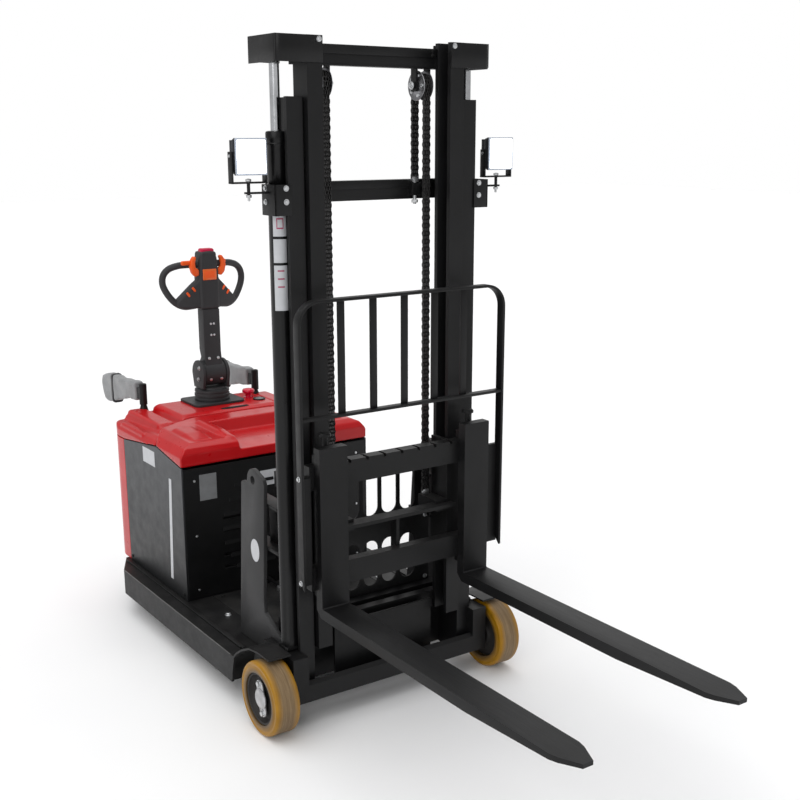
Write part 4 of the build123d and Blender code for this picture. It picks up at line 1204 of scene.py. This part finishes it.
class STACKER_OT_chains(bpy.types.Operator):
    """Turn the sheaves and lay the leaf chains over them"""

    bl_idname = "stacker.chains"
    bl_label = "Chains"

    def execute(self, context):
        if "chain" not in TREES:
            TREES["chain"] = chain_tree()
        pitch = look().chain_pitch
        values = {
            "Pitch": pitch, "Plate depth": 0.0124, "Plate thickness": 0.0026, "Width": 0.025, "Pin radius": 0.0032,
        }
        x, _, z = SHEAVE
        front_low, rear_low = 690.0, 1732.0
        step = pitch / MM
        for name, side in SIDES:
            y = side * SHEAVE[1]
            rim = [
                (0, 10.2), (0, 20), (1.2, 22), (1.2, 41), (0.4, 43), (0.4, 45), (1.4, 46), (2.4, 46), (3.2, 44.5),
                (3.8, 40), (4, 23.4),
            ]
            profile = rim + [(SHEAVE_W - a, r) for a, r in reversed(rim)]
            wheel = Solid().turned((x, y - SHEAVE_W / 2, z), (0, 1, 0), profile, 72, True)
            wheel.made("flanged_sheave_" + name, "sheave_steel", "chain_sheave_" + name, "sheave_steel",
                       ("sheave_" + name,))
            seeds = []
            for k in range(5):
                a = k * TURN / 5
                for face in (1, -1):
                    spot = (x + 31 * math.cos(a), y + face * 16.6, z + 31 * math.sin(a))
                    seeds.append((spot, (0, face, 0)))
            bolts("sheave_rivets_" + name, seeds, "chain_sheave_" + name, "m6")
            ends = [((x, y + face * 35, z), (0, face, 0)) for face in (1, -1)]
            bolts("sheave_pin_ends_" + name, ends, "mast_inner", "m12")
            runs = {"front": [], "over": [], "rear": []}
            length = z - front_low
            total = length + math.pi * CHAIN_R + (z - rear_low)
            along = step / 2
            while along < total:
                if along < length:
                    runs["front"].append(((x + CHAIN_R, y, front_low + along), (0, 0, 1)))
                elif along < length + math.pi * CHAIN_R:
                    a = (along - length) / CHAIN_R
                    spot = (x + CHAIN_R * math.cos(a), y, z + CHAIN_R * math.sin(a))
                    runs["over"].append((spot, (-math.sin(a), 0, math.cos(a))))
                else:
                    drop = along - length - math.pi * CHAIN_R
                    runs["rear"].append(((x - CHAIN_R, y, z - drop), (0, 0, -1)))
                along += step
            grown(TREES["chain"], "chain_over_" + name, runs["over"], values, "chain_steel", "mast_inner")
            front = grown(TREES["chain"], "chain_front_run_" + name, runs["front"], values, "chain_steel", None,
                          ("chain_front_" + name,))
            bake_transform(front)
            rear = grown(TREES["chain"], "chain_rear_run_" + name, runs["rear"], values, "chain_steel", None,
                         ("chain_rear_" + name,))
            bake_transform(rear)
            anchor = Solid().rod((x - CHAIN_R, y, 1664), (x - CHAIN_R, y, 1738), 6)
            anchor.rod((x - CHAIN_R, y, 1668), (x - CHAIN_R, y, 1678), 11, 1, 6)
            anchor.block((x - CHAIN_R - 8, y - 12, 1734), (x - CHAIN_R + 8, y + 12, 1752), 2)
            anchor.made("chain_anchor_" + name, "zinc_bolt", "chassis")
            clevis = Solid().block((x + CHAIN_R - 8, y - 12, 686), (x + CHAIN_R + 8, y + 12, 706), 2)
            clevis.rod((x + CHAIN_R, y, 636), (x + CHAIN_R, y, 690), 6)
            clevis.rod((x + CHAIN_R, y, 640), (x + CHAIN_R, y, 649), 11, 1, 6)
            clevis.made("chain_clevis_" + name, "zinc_bolt", "fork_carriage")
        return {"FINISHED"}


# Front end
FORK_Y = 278


class STACKER_OT_backrest(bpy.types.Operator):
    """Bend the load backrest from flat bar and fit the carriage's fastenings"""

    bl_idname = "stacker.backrest"
    bl_label = "Load backrest"

    def execute(self, context):
        half, thick, top, foot, bend = 390.0, 9.0, 1413.0, 512.0, 74.0
        outer = [(half, foot)] + arc((half - bend, top - bend), bend, 0, 90, 10)
        outer += arc((-half + bend, top - bend), bend, 90, 180, 10) + [(-half, foot)]
        inner_r = bend - thick
        inner = [(-half + thick, foot)] + arc((-half + bend, top - bend), inner_r, 180, 90, 10)
        inner += arc((half - bend, top - bend), inner_r, 90, 0, 10) + [(half - thick, foot)]
        frame = Solid().prism(outer + inner, "X", 98, 130, 1.2)
        mesh = frame.mesh("backrest_bar", 50)
        for v in mesh.vertices:
            if v.co.z < (foot + 4) * MM and v.co.x < at(112, 0, 0).x:
                v.co.z += 0.034
        piece("backrest_bar", mesh, "black_frame", "fork_carriage", ("backrest",))
        bars = Solid().block((100, -half + 4, 1050), (128, half - 4, 1059), 1.2)
        for y in (-232, -116, 0, 116, 232):
            bars.block((106, y - 12, 1056), (114, y + 12, top - 4), 1.2)
        bars.made("backrest_uprights", "black_frame", "fork_carriage")
        seeds = [((112, side * half, z), (0, side, 0)) for side in (1, -1) for z in (536, 873)]
        bolts("backrest_bolts", seeds, "fork_carriage", "m8")
        pins = Solid()
        for side in (1, -1):
            knob = [(0, 0), (0, 12), (3, 19), (7, 19.5), (11, 16), (12, 0)]
            pins.turned((80, side * FORK_Y, 985), (0, 0, 1), knob, 32)
            pins.rod((80, side * FORK_Y, 900), (80, side * FORK_Y, 986), 9)
        pins.made("fork_pins", "black_frame", "fork_carriage")
        return {"FINISHED"}


# Body panels
PANEL_X = -744.5
LABEL_THICK = 1.3


class STACKER_OT_panels(bpy.types.Operator):
    """Fit the body's louvres, screws and blank labels"""

    bl_idname = "stacker.panels"
    bl_label = "Body panels"

    def execute(self, context):
        louvres = Solid()
        for z, reach in ((607, 190), (552, 214), (496, 238), (440, 242), (384, 238), (330, 214), (282, 190)):
            for side in (1, -1):
                ends = sorted((side * 24, side * reach))
                fin = [(PANEL_X, z + 10), (PANEL_X + 5, z - 6), (PANEL_X, z - 6)]
                louvres.prism(fin, "Y", ends[0], ends[1], 0.6, 1)
        louvres.made("front_louvres", "sheet_black", "chassis", "black_frame")
        bolts("front_panel_screws", spots([-744], (351, -351), (220, 434, 648), (1, 0, 0)), "chassis", "m4")
        seeds = []
        for side in (1, -1):
            seeds += spots((-770, -1280), [side * 401], [204], (0, side, 0))
        bolts("side_panel_screws", seeds, "chassis", "m6", "signal_black")
        face = PANEL_X + LABEL_THICK
        label("front_label", (PANEL_X, -331, 568), (face, -262, 668), "label_grey", "chassis")
        label("battery_label", (PANEL_X, -80, 582), (face, -8, 642), "label_pale", "chassis")
        for name, side in SIDES:
            ends = sorted((side * 400.5, side * 401.8))
            label("side_label_" + name, (-1102, ends[0], 652), (-988, ends[1], 712), "label_pale", "chassis")
            slant = [(-888, 236), (-866, 236), (-838, 640), (-860, 640)]
            stripe = Solid().prism(slant, "Y", ends[0], ends[1], 0.2, 1)
            stripe.made("side_stripe_" + name, "label_pale", "chassis")
            oval = [(-250 + 30 * c, 530 + 40 * s) for c, s in arc((0, 0), 1, 0, 345, 23)]
            disc = Solid().prism(oval, "Y", side * 361.6, side * 362.8, 0.2, 1)
            disc.made("stay_label_" + name, "label_pale", "chassis")
        return {"FINISHED"}


# Deck and rails
RAIL_TOP = 182
DECK_TOP = 183
PIPE_Y = 60


class STACKER_OT_deck(bpy.types.Operator):
    """Fit the side rails' folded edges and the deck's fastenings"""

    bl_idname = "stacker.deck"
    bl_label = "Deck"

    def execute(self, context):
        edges, folds = Solid(), Solid()
        for side in (1, -1):
            # Thin lighter strips along the rails' top edges: painted highlight.
            edges.block((-1198, side * 470.5, 180.6), (-244, side * 473.6, 183.7), 0.8)
            folds.block((-1294, side * 420, RAIL_TOP), (-262, side * 426, 190), 1.6)
            folds.block((-1300, side * 402, RAIL_TOP), (-262, side * 421, 185), 0.8)
        folds.block((-392, -298, 175), (-160, 298, RAIL_TOP), 1.6)
        edges.made("rail_painted_highlight_edges", "edge_painted_highlight", "chassis")
        folds.made("rail_folds", "black_frame", "chassis")
        up = (0, 0, 1)
        bolts("deck_bolts", spots([-547], (331, -331), [DECK_TOP], up), "chassis", "m12")
        bolts("deck_screws", spots((-715, -420), (270, -270), [DECK_TOP], up), "chassis", "m8", "signal_black")
        pipes = Solid()
        for side in (1, -1):
            run = ((-742, PIPE_Y, 205), (-600, PIPE_Y, 196), (-320, 64, 196), (-214, 90, 198), (-190, 200, 206),
                   (-176, 262, 240), (-152, 280, 276))
            pipes.tube([(x, side * y, z) for x, y, z in run], 7, 12, 8)
        pipes.made("lift_pipes", "cylinder_black", "chassis", angle=60)
        clips = Solid()
        for side in (1, -1):
            for x in (-640, -400):
                clips.block((x - 9, side * PIPE_Y - 14, DECK_TOP), (x + 9, side * PIPE_Y + 14, 205), 2)
        clips.made("pipe_clips", "zinc_bolt", "chassis")
        return {"FINISHED"}


# Operator's end
class STACKER_OT_platform(bpy.types.Operator):
    """Fit the platform's mat, stiffeners and the rear panel's fastenings"""

    bl_idname = "stacker.platform"
    bl_label = "Operator platform"

    def execute(self, context):
        mat = Solid().block((-1486.4, -236, 236), (-1484.6, 236, 584), 0.5)
        for k in range(15):
            y = -224 + 32 * k
            mat.block((-1485.4, y - 6, 244), (-1483.4, y + 6, 576), 0.6)
        mat.made("platform_mat", "rubber_black", "step")
        frame = Solid()
        for y in (-200, 0, 200):
            frame.block((-1511, y - 14, 226), (-1503, y + 14, 588), 2)
        frame.block((-1511, -240, 566), (-1503, 240, 590), 2).block((-1511, -240, 226), (-1503, 240, 250), 2)
        frame.tube([(-1504, -60, 540), (-1524, -56, 540), (-1528, -40, 540), (-1528, 40, 540), (-1524, 56, 540),
                    (-1504, 60, 540)], 6, 12, 6)
        frame.made("platform_stiffeners", "black_frame", "step", "black_frame")
        back = (-1, 0, 0)
        bolts("platform_bolts", spots([-1511], (-200, 0, 200), (238, 578), back), "step", "m8")
        bolts("rear_panel_screws", spots([-1470], (262, -262), (320, 660), back), "chassis", "m6")
        # Dark bars on the rear panel standing for vent openings: painted shade.
        vents = Solid()
        for k in range(5):
            z = 622 + 12 * k
            vents.block((-1472.5, -90, z), (-1469.5, 90, z + 5), 1)
        vents.made("rear_vents", "slot_painted_shade", "chassis")
        return {"FINISHED"}


# Stage
CAMERA_SPOT = (AXLE_X + 3.0661, -2.0394, 1.8865)
CAMERA_TURN = (75.14, 0, 55.21)
CAMERA_LENS = 52.22
CAMERA_SHIFT = (-0.0101, 0.0516)
LIGHTS = (("overhead", (8, -6, 0), 70, 1.7), ("key", (62, 0, 38), 50, 0.9), ("rim", (58, 0, -140), 60, 0.35))
SKY_LIGHT, SKY_SEEN = 0.5, 1.0


def turned_by(angles):
    """Degrees to radians, three at a time."""
    return tuple(math.radians(a) for a in angles)


class STACKER_OT_stage(bpy.types.Operator):
    """Set the floor, the lights and the camera"""

    bl_idname = "stacker.stage"
    bl_label = "Stage"

    def execute(self, context):
        scene = context.scene
        half = look().floor_size / 2
        mesh = bpy.data.meshes.new("floor")
        mesh.from_pydata([(-half, -half, 0), (half, -half, 0), (half, half, 0), (-half, half, 0)], [], [(0, 1, 2, 3)])
        f = Finish("floor_pale")
        f.shade(
            Base_Color=f.blend(f.between(f.noise(0.7, 3), 0.3, 0.7), (0.86, 0.86, 0.87, 1), (0.9, 0.9, 0.9, 1)),
            Roughness=f.between(f.noise(3, 3), 0.3, 0.7, 0.75, 0.85),
        )
        mesh.materials.append(FINISHES["floor_pale"])
        loose("floor", mesh)

        world = bpy.data.worlds.new("studio")
        world.use_nodes = True
        tree = world.node_tree
        ground = tree.nodes["Background"]
        ground.inputs["Color"].default_value = (1, 1, 1, 1)
        path = tree.nodes.new("ShaderNodeLightPath")
        level = tree.nodes.new("ShaderNodeMapRange")
        level.inputs["To Min"].default_value = SKY_LIGHT
        level.inputs["To Max"].default_value = SKY_SEEN
        tree.links.new(path.outputs["Is Camera Ray"], level.inputs["Value"])
        tree.links.new(level.outputs[0], ground.inputs["Strength"])
        scene.world = world
        for name, angles, spread, power in LIGHTS:
            lamp = bpy.data.lights.new(name, "SUN")
            lamp.angle = math.radians(spread)
            lamp.energy = power
            obj = bpy.data.objects.new(name, lamp)
            obj.rotation_euler = turned_by(angles)
            scene.collection.objects.link(obj)
        camera = bpy.data.cameras.new("camera")
        camera.sensor_width = 36.0
        camera.lens = CAMERA_LENS
        camera.shift_x, camera.shift_y = CAMERA_SHIFT
        obj = bpy.data.objects.new("camera", camera)
        obj.location = CAMERA_SPOT
        obj.rotation_euler = turned_by(CAMERA_TURN)
        scene.collection.objects.link(obj)
        scene.camera = obj
        scene.view_settings.view_transform = "Standard"
        return {"FINISHED"}


CLASSES = [
    StackerLook, STACKER_OT_finishes, STACKER_OT_steelwork, STACKER_OT_wheels, STACKER_OT_hood, STACKER_OT_tiller,
    STACKER_OT_guard_arms, STACKER_OT_mast, STACKER_OT_lamps, STACKER_OT_chains, STACKER_OT_backrest,
    STACKER_OT_panels, STACKER_OT_deck, STACKER_OT_platform, STACKER_OT_stage,
]


class STACKER_PT_panel(bpy.types.Panel):
    bl_label = "Stacker"
    bl_idname = "STACKER_PT_panel"
    bl_space_type = "VIEW_3D"
    bl_region_type = "UI"
    bl_category = "Stacker"

    def draw(self, context):
        settings = context.scene.stacker_look
        for item in StackerLook.__annotations__:
            self.layout.prop(settings, item)
        for made in CLASSES:
            if issubclass(made, bpy.types.Operator):
                self.layout.operator(made.bl_idname)


def register():
    for made in CLASSES + [STACKER_PT_panel]:
        bpy.utils.register_class(made)
    bpy.types.Scene.stacker_look = PointerProperty(type=StackerLook)


def unregister():
    del bpy.types.Scene.stacker_look
    for made in reversed(CLASSES + [STACKER_PT_panel]):
        bpy.utils.unregister_class(made)


def main():
    register()
    for made in CLASSES:
        if issubclass(made, bpy.types.Operator):
            area, name = made.bl_idname.split(".")
            getattr(getattr(bpy.ops, area), name)()


if __name__ == "__main__":
    main()
